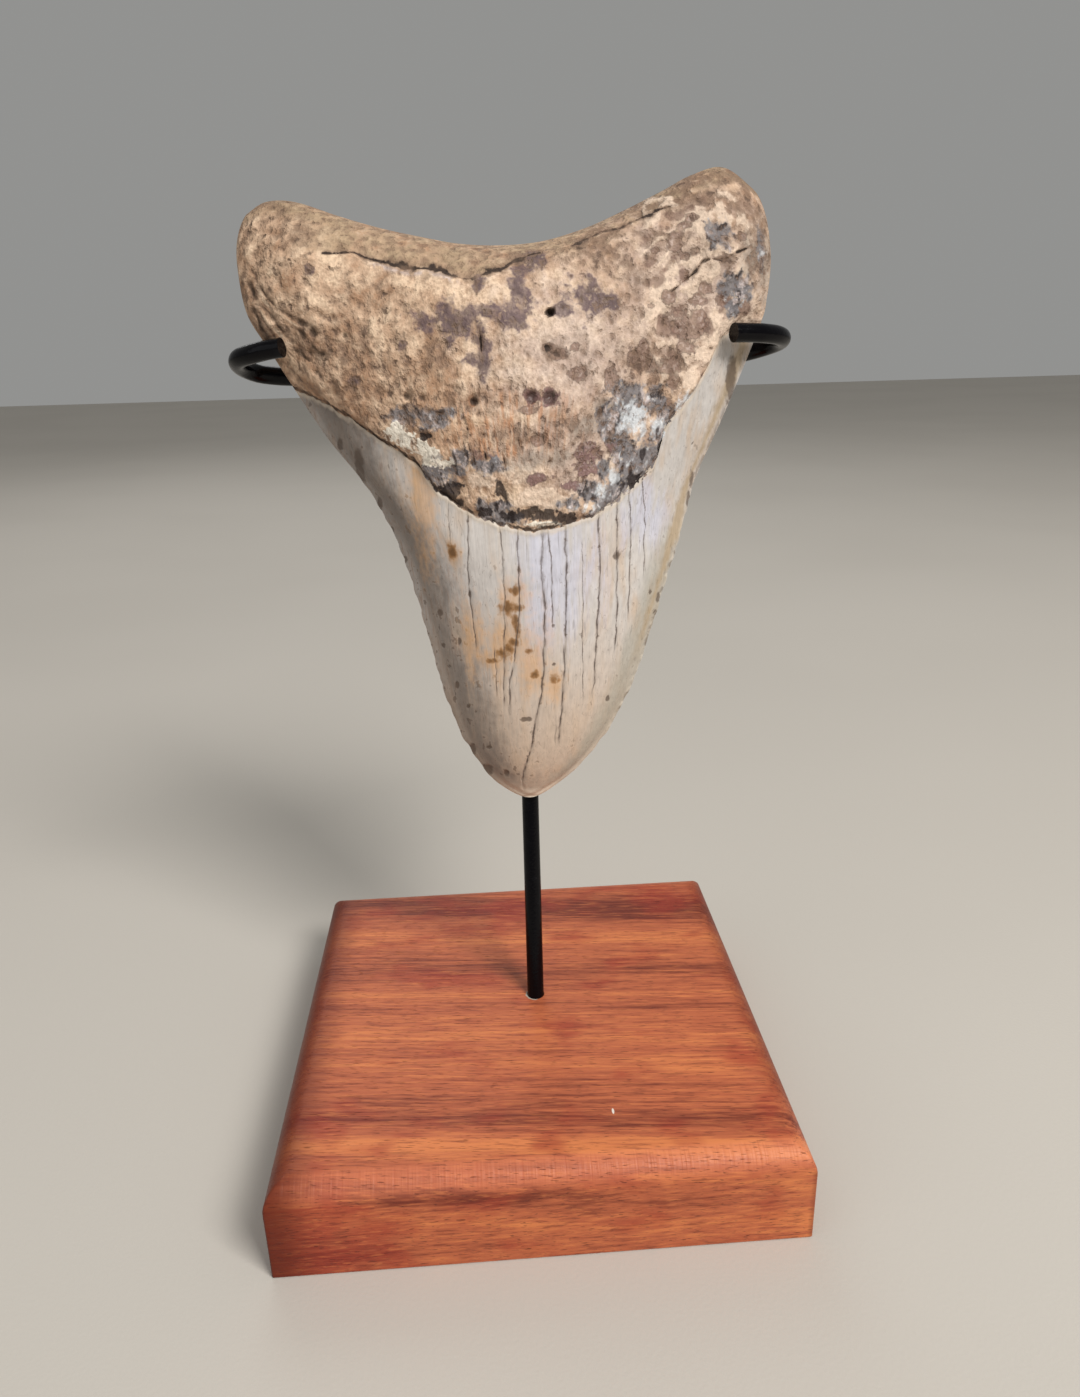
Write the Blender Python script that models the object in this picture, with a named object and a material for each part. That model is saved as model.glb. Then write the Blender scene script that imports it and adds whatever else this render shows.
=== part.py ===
"""Fossil megalodon tooth, tip down in a wire cradle on a wooden base.

Metres, +Z up, origin at the centre of the base's underside, front towards -Y.
Four solids: base, post, cradle and tooth.
"""

import math

import bpy
import bmesh
from mathutils import Matrix, Vector, noise
from mathutils.bvhtree import BVHTree

MM = 0.001

# Wooden base
BASE_WIDTH = 0.100
BASE_DEPTH = 0.100
BASE_HEIGHT = 0.020
BASE_EDGE_RADIUS = 0.005
BASE_EDGE_STEPS = 8

# Post, with its foot's centre on the base's top face
ROD_RADIUS = 0.00185
ROD_CHAMFER = 0.0003
POST_FOOT = Vector((0.0018, 0.0016, BASE_HEIGHT))
POST_LEAN_BACK = math.radians(15.0)
POST_LEAN_SIDE = math.radians(0.85)
POST_TOP = 0.1405
POST_SINK = 0.012
ROUND_SEGMENTS = 24
CLEARANCE = 0.0003

# Cradle wire: millimetres across, along the post and forward of the post's axis
CRADLE_POINTS = [
    (-44.0, 138.4, 20.3), (-47.5, 138.2, 19.2), (-50.8, 138.0, 17.3), (-53.3, 138.0, 14.7),
    (-54.4, 137.9, 11.4), (-54.0, 137.7, 8.0), (-52.0, 137.3, 5.2), (-49.0, 137.0, 4.1),
    (-45.0, 136.7, 4.0), (-35.0, 136.2, 4.0), (-20.0, 135.7, 4.0), (2.0, 135.4, 4.0),
    (20.0, 135.8, 4.0), (36.0, 137.1, 4.0), (46.0, 138.4, 4.0), (50.7, 139.1, 4.6),
    (54.1, 139.6, 6.6), (55.7, 139.7, 9.6), (55.4, 139.6, 13.0), (53.4, 139.4, 16.0),
    (50.2, 139.2, 18.2), (47.2, 139.1, 19.3), (43.6, 138.9, 20.4),
]
CRADLE_STEPS = 3
CRADLE_BEVEL_STEPS = 4
CRADLE_END_SHARE = 1 - ROD_CHAMFER / ROD_RADIUS

# Tooth pose: the tip's place, and the lean of the plane of its cutting edges
TOOTH_TIP = Vector((0.0023, 0.0097, 0.0652))
TOOTH_LEAN_BACK = math.radians(9.0)

# Tooth outline in millimetres, across and up from the tip
CROWN_LEFT = [
    (0.0, 0.0), (-7.0, 3.7), (-10.7, 8.4), (-14.2, 14.5), (-17.0, 22.5), (-19.5, 33.0),
    (-22.5, 46.0), (-26.2, 58.0), (-31.8, 68.6), (-38.0, 77.2), (-43.8, 86.8),
]
CROWN_RIGHT = [
    (0.0, 0.0), (7.2, 3.6), (11.9, 7.6), (16.6, 13.0), (20.8, 19.8), (25.0, 29.5),
    (29.4, 42.6), (33.2, 54.2), (37.2, 67.6), (43.0, 80.0), (50.3, 97.0),
]
ROOT_LEFT = [
    (-43.8, 86.8), (-48.2, 94.5), (-51.8, 101.0), (-52.9, 108.5), (-52.6, 114.5), (-50.4, 119.4),
]
ROOT_RIGHT = [
    (50.3, 97.0), (51.6, 102.5), (52.2, 108.0), (51.9, 113.0), (50.9, 118.0), (48.5, 122.3),
]
ROOT_TOP = [
    (-50.4, 119.4), (-46.5, 121.5), (-41.0, 121.4), (-32.5, 118.6), (-24.8, 116.3),
    (-17.5, 114.6), (-9.8, 113.1), (-1.8, 112.6), (6.2, 113.2), (14.9, 115.5), (22.5, 118.6),
    (29.8, 121.9), (36.3, 125.0), (42.5, 126.2), (48.5, 122.3),
]
ROOT_LINE = [
    (-43.8, 86.8), (-37.5, 83.8), (-31.7, 79.6), (-25.8, 75.3), (-20.0, 71.0), (-16.0, 65.8),
    (-11.0, 62.2), (-5.0, 59.2), (2.0, 57.5), (9.0, 58.8), (16.0, 61.0), (22.0, 65.2),
    (27.0, 70.0), (29.0, 76.0), (33.5, 81.5), (38.0, 87.5), (41.0, 93.5), (45.5, 96.0),
    (50.3, 97.0),
]

ROOT_LINE_SAG = 33.5

# Tooth thickness in millimetres, each side of the plane of the cutting edges, and the
# powers that round it off: a high power keeps its thickness until close to the edge
CROWN_FRONT = 11.0
CROWN_BACK = 5.4
CROWN_SWELL_POWER = 1.5
CROWN_FRONT_POWER = 2.1
CROWN_BACK_POWER = 3.0
LOBE_FRONT = 3.6
BOSS_FRONT = 10.0
BOSS_HALF_SHARE = 0.6
KNOB_FRONT = 2.0
KNOB_LEFT = (-41.0, 109.0)
KNOB_RIGHT = (42.0, 112.0)
KNOB_REACH = (9.0, 10.0)
ROOT_BACK = 6.9
ROOT_EDGE_POWER = 6.0
ROOT_TOP_POWER = 4.5
ROOT_GROWN_RISE = 0.25

# Root relief in millimetres
ROOT_LEDGE = 1.2
LEDGE_RISE = 0.012
CRACK_LEDGE = 0.7
CRACK_RISE = 0.84
LUMP_HEIGHT = 0.55
LUMP_SIZE = 11.0
SMALL_LUMP_HEIGHT = 0.45
SMALL_LUMP_SIZE = 5.0
BACK_LUMP_HEIGHT = 0.3
BACK_LUMP_SIZE = 9.0
FOLD_HEIGHT = 0.35
FOLD_SLOPE = 0.72
FOLD_LENGTH = 5.5
RIDGE_HEIGHT = 0.5
RIDGE_SIZE = 3.6

# Tooth mesh
TOOTH_COLUMNS = 38
CROWN_ROWS = 20
ROOT_ROWS = 19
COLUMN_PACKING = 0.65
ROW_PACKING = 0.5
TIP_PACKING = 1.15

# Holes of blood vessels and worn pits in the root: across, up, radius and depth in millimetres
ROOT_PITS = [
    (8.6, 100.5, 1.0, 2.2), (5.2, 83.2, 1.5, 1.2), (8.4, 83.0, 1.6, 1.2), (-7.0, 82.6, 1.3, 1.0),
    (-29.0, 92.0, 1.2, 0.9), (-33.5, 99.0, 1.1, 0.9),
]
PIT_SIDES = 8


def clear_scene():
    """Remove every object, so the script starts from nothing."""
    for item in list(bpy.data.objects):
        bpy.data.objects.remove(item, do_unlink=True)


def make_material(name, colour, roughness, metallic=0.0):
    """Return a plain Principled material."""
    material = bpy.data.materials.new(name)
    material.use_nodes = True
    shader = material.node_tree.nodes["Principled BSDF"]
    shader.inputs["Base Color"].default_value = (*colour, 1.0)
    shader.inputs["Roughness"].default_value = roughness
    shader.inputs["Metallic"].default_value = metallic
    return material


def add_object(name, data, material):
    """Link an object holding data to the scene, with its material."""
    item = bpy.data.objects.new(name, data)
    bpy.context.scene.collection.objects.link(item)
    item.data.materials.append(material)
    return item


def mesh_from(name, vertices, faces):
    """Return a mesh with its faces turned outwards and smooth round shapes."""
    form = bmesh.new()
    made = [form.verts.new(point) for point in vertices]
    for face in faces:
        form.faces.new([made[index] for index in face])
    bmesh.ops.recalc_face_normals(form, faces=form.faces)
    mesh = bpy.data.meshes.new(name)
    form.to_mesh(mesh)
    form.free()
    mesh.shade_smooth()
    mesh.set_sharp_from_angle(angle=math.radians(35))
    return mesh


def turned_mesh(name, profile, segments):
    """Turn a profile of (radius, height) points round Z; its two ends lie on the axis."""
    vertices = [(0.0, 0.0, profile[0][1])]
    rings = []
    for radius, height in profile[1:-1]:
        ring = []
        for step in range(segments):
            angle = math.tau * step / segments
            ring.append(len(vertices))
            vertices.append((radius * math.cos(angle), radius * math.sin(angle), height))
        rings.append(ring)
    top = len(vertices)
    vertices.append((0.0, 0.0, profile[-1][1]))
    faces = []
    for step in range(segments):
        after = (step + 1) % segments
        faces.append((0, rings[0][after], rings[0][step]))
        for low, high in zip(rings, rings[1:]):
            faces.append((low[step], low[after], high[after], high[step]))
        faces.append((top, rings[-1][step], rings[-1][after]))
    return mesh_from(name, vertices, faces)


def smooth_path(points, steps):
    """Return points along a Catmull-Rom curve through the given ones."""
    points = [Vector(point) for point in points]
    before = points[0] * 2 - points[1]
    after = points[-1] * 2 - points[-2]
    padded = [before, *points, after]
    path = []
    for index in range(len(points) - 1):
        p0, p1, p2, p3 = padded[index:index + 4]
        for step in range(steps):
            path.append(curve_point(p0, p1, p2, p3, step / steps))
    path.append(points[-1])
    return path


def curve_point(p0, p1, p2, p3, share):
    """Point between p1 and p2 on a Catmull-Rom curve."""
    straight = (p2 - p0) * share
    bend = (p0 * 2 - p1 * 5 + p2 * 4 - p3) * share ** 2
    twist = (p1 * 3 - p0 - p2 * 3 + p3) * share ** 3
    return p1 + (straight + bend + twist) * 0.5


def make_base(material):
    """Square block, its four top edges rounded and mitred, drilled for the post."""
    half_width = BASE_WIDTH / 2
    half_depth = BASE_DEPTH / 2
    levels = [(0.0, 0.0)]
    for step in range(BASE_EDGE_STEPS + 1):
        angle = math.pi / 2 * step / BASE_EDGE_STEPS
        inset = BASE_EDGE_RADIUS * (1 - math.cos(angle))
        drop = BASE_EDGE_RADIUS * (1 - math.sin(angle))
        levels.append((inset, BASE_HEIGHT - drop))
    vertices = []
    for inset, height in levels:
        for side_x, side_y in ((-1, -1), (1, -1), (1, 1), (-1, 1)):
            vertices.append((side_x * (half_width - inset), side_y * (half_depth - inset), height))
    faces = [(3, 2, 1, 0)]
    for level in range(len(levels) - 1):
        low, high = 4 * level, 4 * level + 4
        for side in range(4):
            after = (side + 1) % 4
            faces.append((low + side, low + after, high + after, high + side))
    last = 4 * (len(levels) - 1)
    faces.append((last, last + 1, last + 2, last + 3))
    base = add_object("base", mesh_from("base", vertices, faces), material)

    drill_radius = ROD_RADIUS + CLEARANCE
    profile = [(0, 0), (drill_radius, 0), (drill_radius, 2 * POST_SINK), (0, 2 * POST_SINK)]
    drill = add_object("post_drill", turned_mesh("post_drill", profile, ROUND_SEGMENTS), material)
    drill.matrix_world = post_matrix() @ Matrix.Translation((0, 0, -POST_SINK - CLEARANCE))
    drill.hide_render = True
    drill.display_type = "WIRE"
    cut = base.modifiers.new("post_hole", "BOOLEAN")
    cut.operation = "DIFFERENCE"
    cut.solver = "EXACT"
    cut.object = drill
    return base


def stand_matrix():
    """Frame of the leaning stand: X across, Z along the post, -Y forward of it."""
    return Matrix.Translation(POST_FOOT) @ Matrix.Rotation(-POST_LEAN_BACK, 4, "X")


def post_matrix():
    """Frame of the post, which also leans a little to the side."""
    return stand_matrix() @ Matrix.Rotation(POST_LEAN_SIDE, 4, "Y")


def make_post(material):
    """Straight rod from its hole in the base up behind the tooth."""
    profile = [
        (0, -POST_SINK), (ROD_RADIUS - ROD_CHAMFER, -POST_SINK),
        (ROD_RADIUS, -POST_SINK + ROD_CHAMFER), (ROD_RADIUS, 0.0),
        (ROD_RADIUS, POST_TOP - ROD_CHAMFER), (ROD_RADIUS - ROD_CHAMFER, POST_TOP),
        (0, POST_TOP),
    ]
    post = add_object("post", turned_mesh("post", profile, ROUND_SEGMENTS), material)
    post.matrix_world = post_matrix()
    return post


def make_cradle(material):
    """Round wire bent into a bar behind the root with a hook at each side."""
    path = smooth_path(CRADLE_POINTS, CRADLE_STEPS)
    start = path[0] + (path[0] - path[1]).normalized() * ROD_CHAMFER / MM
    finish = path[-1] + (path[-1] - path[-2]).normalized() * ROD_CHAMFER / MM
    path = [start, *path, finish]
    curve = bpy.data.curves.new("cradle", "CURVE")
    curve.dimensions = "3D"
    curve.bevel_depth = ROD_RADIUS
    curve.bevel_resolution = CRADLE_BEVEL_STEPS
    curve.use_fill_caps = True
    spline = curve.splines.new("POLY")
    spline.points.add(len(path) - 1)
    for place, (across, along, forward) in zip(spline.points, path):
        place.co = (across * MM, -forward * MM, along * MM, 1.0)
    spline.points[0].radius = CRADLE_END_SHARE
    spline.points[-1].radius = CRADLE_END_SHARE
    cradle = add_object("cradle", curve, material)
    cradle.matrix_world = stand_matrix()
    return cradle


def smooth_step(value):
    """Ease from 0 to 1 as value goes from 0 to 1."""
    value = min(max(value, 0.0), 1.0)
    return value * value * (3 - 2 * value)


def outline_loop():
    """Points of the closed outline, from the tip up the right side and round."""
    loop = CROWN_RIGHT[:-1] + ROOT_RIGHT[:-1] + ROOT_TOP[:0:-1] + ROOT_LEFT[:0:-1]
    loop = loop + CROWN_LEFT[:0:-1]
    return [Vector((across, up, 0)) for across, up in loop]


def outline_at(loop, place):
    """Point of the closed outline at a place counted in its points."""
    index = math.floor(place)
    count = len(loop)
    corners = [loop[(index + offset) % count] for offset in (-1, 0, 1, 2)]
    return curve_point(*corners, place - index)


def height_at(points, across):
    """Height of a curve through (across, up) points, at a given place across."""
    for index in range(len(points) - 1):
        if across <= points[index + 1][0] or index == len(points) - 2:
            break
    left, right = points[index], points[index + 1]
    before = points[max(index - 1, 0)]
    after = points[min(index + 2, len(points) - 1)]
    span = right[0] - left[0]
    share = (across - left[0]) / span
    slope_left = (right[1] - before[1]) / (right[0] - before[0])
    slope_right = (after[1] - left[1]) / (after[0] - left[0])
    square, cube = share ** 2, share ** 3
    height = (2 * cube - 3 * square + 1) * left[1] + (3 * square - 2 * cube) * right[1]
    height += (cube - 2 * square + share) * span * slope_left
    height += (cube - square) * span * slope_right
    return height


def blend(first, second, share):
    """Value between first and second."""
    return first + (second - first) * share


def root_line_sag(side):
    """Drop of the root line below its chord, as an even curve and the uneven rest."""
    line_across = blend(ROOT_LINE[0][0], ROOT_LINE[-1][0], side)
    line_chord = blend(ROOT_LINE[0][1], ROOT_LINE[-1][1], side)
    even = -ROOT_LINE_SAG * (1 - abs(2 * side - 1) ** 1.6)
    return even, height_at(ROOT_LINE, line_across) - line_chord - even


def crown_place(loop, side, rise):
    """Place across and up on the crown; side runs 0 to 1 from left to right."""
    last = len(CROWN_RIGHT) - 1
    left = outline_at(loop, -rise * last)
    right = outline_at(loop, rise * last)
    across = blend(left.x, right.x, side)
    up = blend(left.y, right.y, side)
    even, uneven = root_line_sag(side)
    return across, up + even * rise ** 1.5 + uneven * rise ** 8


def root_place(loop, side, rise):
    """Place across and up on the root, between the root line and the top edge."""
    first = len(CROWN_RIGHT) - 1
    steps = len(ROOT_RIGHT) - 1
    left = outline_at(loop, -first - rise * steps)
    right = outline_at(loop, first + rise * steps)
    top_across = blend(ROOT_TOP[0][0], ROOT_TOP[-1][0], side)
    top_sag = height_at(ROOT_TOP, top_across)
    top_sag -= blend(ROOT_TOP[0][1], ROOT_TOP[-1][1], side)
    even, uneven = root_line_sag(side)
    across = blend(left.x, right.x, side)
    up = blend(left.y, right.y, side) + blend(even, top_sag, rise)
    return across, up + uneven * (1 - rise) ** 6


def lumps(across, up, size, seed):
    """Smooth natural unevenness between -1 and 1, with lumps of a size in millimetres."""
    return noise.noise(Vector((across / size, up / size, seed)))


def crown_thickness(side, rise):
    """Front and back thickness of the crown in millimetres."""
    spread = abs(2 * side - 1)
    swell = (1 - (1 - rise) ** CROWN_SWELL_POWER) ** 0.9
    front = CROWN_FRONT * swell * (1 - spread ** CROWN_FRONT_POWER) ** 1.1
    back = CROWN_BACK * swell * (1 - spread ** CROWN_BACK_POWER) ** 0.9
    return front, back


def root_thickness(side, rise, across, up):
    """Front and back thickness of the root in millimetres, with its worn relief."""
    spread = abs(2 * side - 1)
    crown_front, crown_back = crown_thickness(side, 1.0)
    edge = math.sqrt(1 - spread ** ROOT_EDGE_POWER)
    boss = BOSS_FRONT * math.exp(-(spread / BOSS_HALF_SHARE) ** 2)
    grown = smooth_step(rise / ROOT_GROWN_RISE)
    front = blend(crown_front, (LOBE_FRONT + boss) * edge, grown)
    back = blend(crown_back, ROOT_BACK * edge, grown)
    front += ROOT_LEDGE * edge * smooth_step(rise / LEDGE_RISE)
    front -= CRACK_LEDGE * edge * smooth_step((rise - CRACK_RISE) / 0.04)
    front += edge * KNOB_FRONT * (knob(KNOB_LEFT, across, up) + knob(KNOB_RIGHT, across, up))
    front += edge * LUMP_HEIGHT * lumps(across, up, LUMP_SIZE, 1.5)
    front += edge * SMALL_LUMP_HEIGHT * lumps(across, up, SMALL_LUMP_SIZE, 4.2)
    front += edge * (left_folds(across, up) + right_ridges(across, up))
    back += edge * BACK_LUMP_HEIGHT * lumps(across, up, BACK_LUMP_SIZE, 8.3)
    rounding = math.sqrt(1 - rise ** ROOT_TOP_POWER)
    return front * rounding, back * rounding


def knob(middle, across, up):
    """Round swelling of a lobe: 1 at its middle, fading to 0."""
    off_across = (across - middle[0]) / KNOB_REACH[0]
    off_up = (up - middle[1]) / KNOB_REACH[1]
    return math.exp(-off_across ** 2 - off_up ** 2)


def left_folds(across, up):
    """Slanting folds on the lower side of the left lobe."""
    inside = smooth_step((-across - 30) / 8) * smooth_step((116 - up) / 8)
    return FOLD_HEIGHT * inside * math.sin(math.tau * (across + FOLD_SLOPE * up) / FOLD_LENGTH)


def right_ridges(across, up):
    """Knobbly network of ridges on the right lobe."""
    inside = smooth_step((across - 20) / 8) * smooth_step((up - 80) / 8)
    return RIDGE_HEIGHT * inside * lumps(across, up, RIDGE_SIZE, 12.7)


def side_share(column):
    """Share across the tooth of a column, closer together near both edges."""
    even = 2 * column / TOOTH_COLUMNS - 1
    packed = blend(even, math.sin(math.pi / 2 * even), COLUMN_PACKING)
    return (packed + 1) / 2


def tooth_rows():
    """Rows from the tip to the top edge, as (is_root, rise) pairs."""
    rows = [(False, (row / CROWN_ROWS) ** TIP_PACKING) for row in range(1, CROWN_ROWS + 1)]
    rows.append((True, LEDGE_RISE))
    for row in range(1, ROOT_ROWS + 1):
        even = row / ROOT_ROWS
        packed = blend(even, math.sin(math.pi / 2 * even), ROW_PACKING)
        rows.append((True, blend(LEDGE_RISE, 1.0, packed)))
    return rows


def pit_mesh(tooth_mesh):
    """Blunt round plugs that cut the pits, each centred on the root's front surface."""
    form = bmesh.new()
    form.from_mesh(tooth_mesh)
    surface = BVHTree.FromBMesh(form)
    form.clear()
    for across, up, radius, depth in ROOT_PITS:
        start = Vector((across * MM, -0.1, up * MM))
        spot = surface.ray_cast(start, Vector((0, 1, 0)))[0]
        place = Matrix.Translation(spot) @ Matrix.Diagonal((radius, depth, radius, 1 / MM)) * MM
        bmesh.ops.create_uvsphere(
            form, u_segments=PIT_SIDES, v_segments=PIT_SIDES - 2, radius=1.0, matrix=place)
    mesh = bpy.data.meshes.new("pit_cutter")
    form.to_mesh(mesh)
    form.free()
    return mesh


def make_tooth(material):
    """Crown and root as one closed form, with pits drilled in the root's front."""
    loop = outline_loop()
    vertices = [(0.0, 0.0, 0.0)]
    front_rows = []
    back_rows = []
    rows = tooth_rows()
    for number, (is_root, rise) in enumerate(rows):
        front_row = []
        back_row = []
        for column in range(TOOTH_COLUMNS + 1):
            side = side_share(column)
            if is_root:
                across, up = root_place(loop, side, rise)
                front, back = root_thickness(side, rise, across, up)
            else:
                across, up = crown_place(loop, side, rise)
                front, back = crown_thickness(side, rise)
            on_edge = column in (0, TOOTH_COLUMNS) or number == len(rows) - 1
            if on_edge:
                front = back = 0.0
            front_row.append(len(vertices))
            vertices.append((across * MM, -front * MM, up * MM))
            if on_edge:
                back_row.append(front_row[-1])
            else:
                back_row.append(len(vertices))
                vertices.append((across * MM, back * MM, up * MM))
        front_rows.append(front_row)
        back_rows.append(back_row)
    faces = []
    for sheet in (front_rows, back_rows):
        for column in range(TOOTH_COLUMNS):
            faces.append((0, sheet[0][column], sheet[0][column + 1]))
        for low, high in zip(sheet, sheet[1:]):
            for column in range(TOOTH_COLUMNS):
                faces.append((low[column], low[column + 1], high[column + 1], high[column]))
    mesh = mesh_from("tooth", vertices, faces)
    pose = Matrix.Translation(TOOTH_TIP) @ Matrix.Rotation(-TOOTH_LEAN_BACK, 4, "X")
    tooth = add_object("tooth", mesh, material)
    tooth.matrix_world = pose
    cutter = add_object("pit_cutter", pit_mesh(mesh), material)
    cutter.matrix_world = pose
    cutter.hide_render = True
    cutter.display_type = "WIRE"
    cut = tooth.modifiers.new("pits", "BOOLEAN")
    cut.operation = "DIFFERENCE"
    cut.solver = "EXACT"
    cut.object = cutter
    return tooth


def main():
    """Build the four pieces."""
    clear_scene()
    wood = make_material("oiled_hardwood", (0.36, 0.09, 0.035), 0.45)
    black = make_material("black_paint", (0.012, 0.012, 0.014), 0.35, 0.0)
    fossil = make_material("fossil", (0.52, 0.42, 0.31), 0.6)
    make_base(wood)
    make_post(black)
    make_cradle(black)
    make_tooth(fossil)


main()
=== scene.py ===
"""Fossil megalodon tooth, tip down in a black wire cradle on an oiled hardwood base.

Row frame in metres: +Z up, front towards -Y, origin under the middle of the base. Marks and
forms of the tooth are given in millimetres, across and up from its tip.
"""

import logging
import math
from dataclasses import dataclass, field
from enum import Enum
from typing import Any, Mapping, NamedTuple, Sequence, Union

import bpy
import numpy as np
from mathutils import Matrix, Vector, noise


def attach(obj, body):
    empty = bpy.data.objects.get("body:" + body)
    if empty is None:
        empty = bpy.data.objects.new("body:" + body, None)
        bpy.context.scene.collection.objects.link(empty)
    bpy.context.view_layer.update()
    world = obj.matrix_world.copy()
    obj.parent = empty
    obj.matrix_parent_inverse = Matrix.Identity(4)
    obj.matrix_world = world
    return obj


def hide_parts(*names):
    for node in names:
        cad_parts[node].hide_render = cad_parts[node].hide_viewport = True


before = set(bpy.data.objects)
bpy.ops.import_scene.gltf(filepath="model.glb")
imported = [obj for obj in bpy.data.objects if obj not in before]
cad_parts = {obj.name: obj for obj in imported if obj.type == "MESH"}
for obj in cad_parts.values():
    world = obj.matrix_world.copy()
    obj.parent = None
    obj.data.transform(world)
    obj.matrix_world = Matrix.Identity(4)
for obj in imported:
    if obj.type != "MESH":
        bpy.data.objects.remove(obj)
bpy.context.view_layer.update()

LOG = logging.getLogger("tooth_stand")
BODY = "root"
MM = 0.001
PER_METRE = 1000.0
NOTHING: Mapping[Any, Any] = {}
SEED_PATH = (1.0, 1.7, -1.0)
EDGE_POWER = 6.0
TOP_POWER = 4.5

# A Pair given to ramp is where it starts and how far it reaches. A Span is where a stretch
# begins and ends, each with how far it eases. A Size3 given to bulge is its height, middle
# and reach, and each row of Waves is a strength, a size in millimetres and a seed.
Colour = tuple[float, float, float, float]
Pair = tuple[float, float]
Span = tuple[Pair, Pair]
Size3 = tuple[float, float, float]
Waves = tuple[Size3, ...]
Operand = Union["Value", float]


class Slot(Enum):
    """Material slots of the record."""

    WOOD = "wood"
    BLACK_PAINT = "black_paint"
    FOSSIL = "fossil"


class Mark(Enum):
    """Kinds of patch on the fossil, each with a field of its own on the mesh."""

    PURPLE = "purple"
    BROWN = "brown"
    SLATE = "slate"
    BLACK = "black"
    CREAM = "cream"
    WHITE = "white"
    GREY_WHITE = "grey_white"
    RUST = "rust"
    RUST_HALO = "rust_halo"
    UMBER = "umber"
    EDGE_STAIN = "edge_stain"
    BLUE_WHITE = "blue_white"
    SOIL_AND_SHADE = "soil_and_shade"
    BARE = "bare"
    ASHEN = "ashen"
    MAROON = "maroon"
    FROST = "frost"


def tint(red: int, green: int, blue: int) -> Colour:
    """Turn a colour as seen on a screen into the linear one of a shader.

    Args:
        red: Red from 0 to 255.
        green: Green from 0 to 255.
        blue: Blue from 0 to 255.

    Returns:
        Linear red, green and blue with full opacity.
    """
    def straight(part: int) -> float:
        """Undo the screen's curve for one channel."""
        share = part / 255
        return share / 12.92 if share <= 0.04045 else ((share + 0.055) / 1.055) ** 2.4

    return straight(red), straight(green), straight(blue), 1.0


def eased(value: np.ndarray) -> np.ndarray:
    """Ease from 0 to 1 as the value goes from 0 to 1."""
    share = np.clip(value, 0.0, 1.0)
    return share * share * (3 - 2 * share)


def ramp(value: np.ndarray, start: float, reach: float) -> np.ndarray:
    """Ease from 0 at a start to 1 one reach further on; a negative reach runs downwards."""
    return eased((value - start) / reach)


def stretch(value: np.ndarray, span: Span) -> np.ndarray:
    """Share of a stretch.

    Args:
        value: Places along it.
        span: Where it begins and over how far it eases in, then where it ends and over how
            far it eases out.

    Returns:
        1 inside the stretch and 0 outside it.
    """
    (start, ease_in), (end, ease_out) = span
    return ramp(value, start, ease_in) * ramp(value, end, -ease_out)


def rounded_off(share: np.ndarray, power: float) -> np.ndarray:
    """Fall from 1 at no share to 0 at a full one, steeply at last like a rounded edge."""
    return np.sqrt(np.maximum(1 - share ** power, 0.0))


def between(first: Any, second: Any, share: Any) -> Any:
    """Value between first and second."""
    return first + (second - first) * share


def hump(offset: np.ndarray, reach: float) -> np.ndarray:
    """Smooth hump: 1 at no offset, fading to 0 beyond its reach."""
    return np.exp(-(offset / reach) ** 2)


def bulge(value: np.ndarray, height: float, middle: float, reach: float) -> np.ndarray:
    """Hump of some height round a middle place."""
    return height * hump(value - middle, reach)


def unevenness(across: np.ndarray, up: np.ndarray, size: float, seed: float) -> np.ndarray:
    """Natural unevenness between -1 and 1.

    Args:
        across: Places across, in millimetres.
        up: Places up, in millimetres.
        size: Size of its lumps, in millimetres.
        seed: Picks one pattern.

    Returns:
        Unevenness at each place.
    """
    flat = [
        noise.noise(Vector((a, u, seed)))
        for a, u in zip((across / size).ravel(), (up / size).ravel())
    ]
    return np.array(flat).reshape(across.shape)


def waves(across: np.ndarray, up: np.ndarray, rows: Waves, shift: float = 0.0) -> np.ndarray:
    """Sum of natural unevenness.

    Args:
        across: Places across, in millimetres.
        up: Places up.
        rows: Strength, size in millimetres and seed of each kind of wave.
        shift: Number added to every seed.

    Returns:
        The sum at each place.
    """
    return sum(power * unevenness(across, up, size, seed + shift) for power, size, seed in rows)


def wavering(along: np.ndarray, rows: Waves, shift: float = 0.0) -> np.ndarray:
    """Sum of natural unevenness along one line."""
    return waves(along, along * 0, rows, shift)


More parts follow.
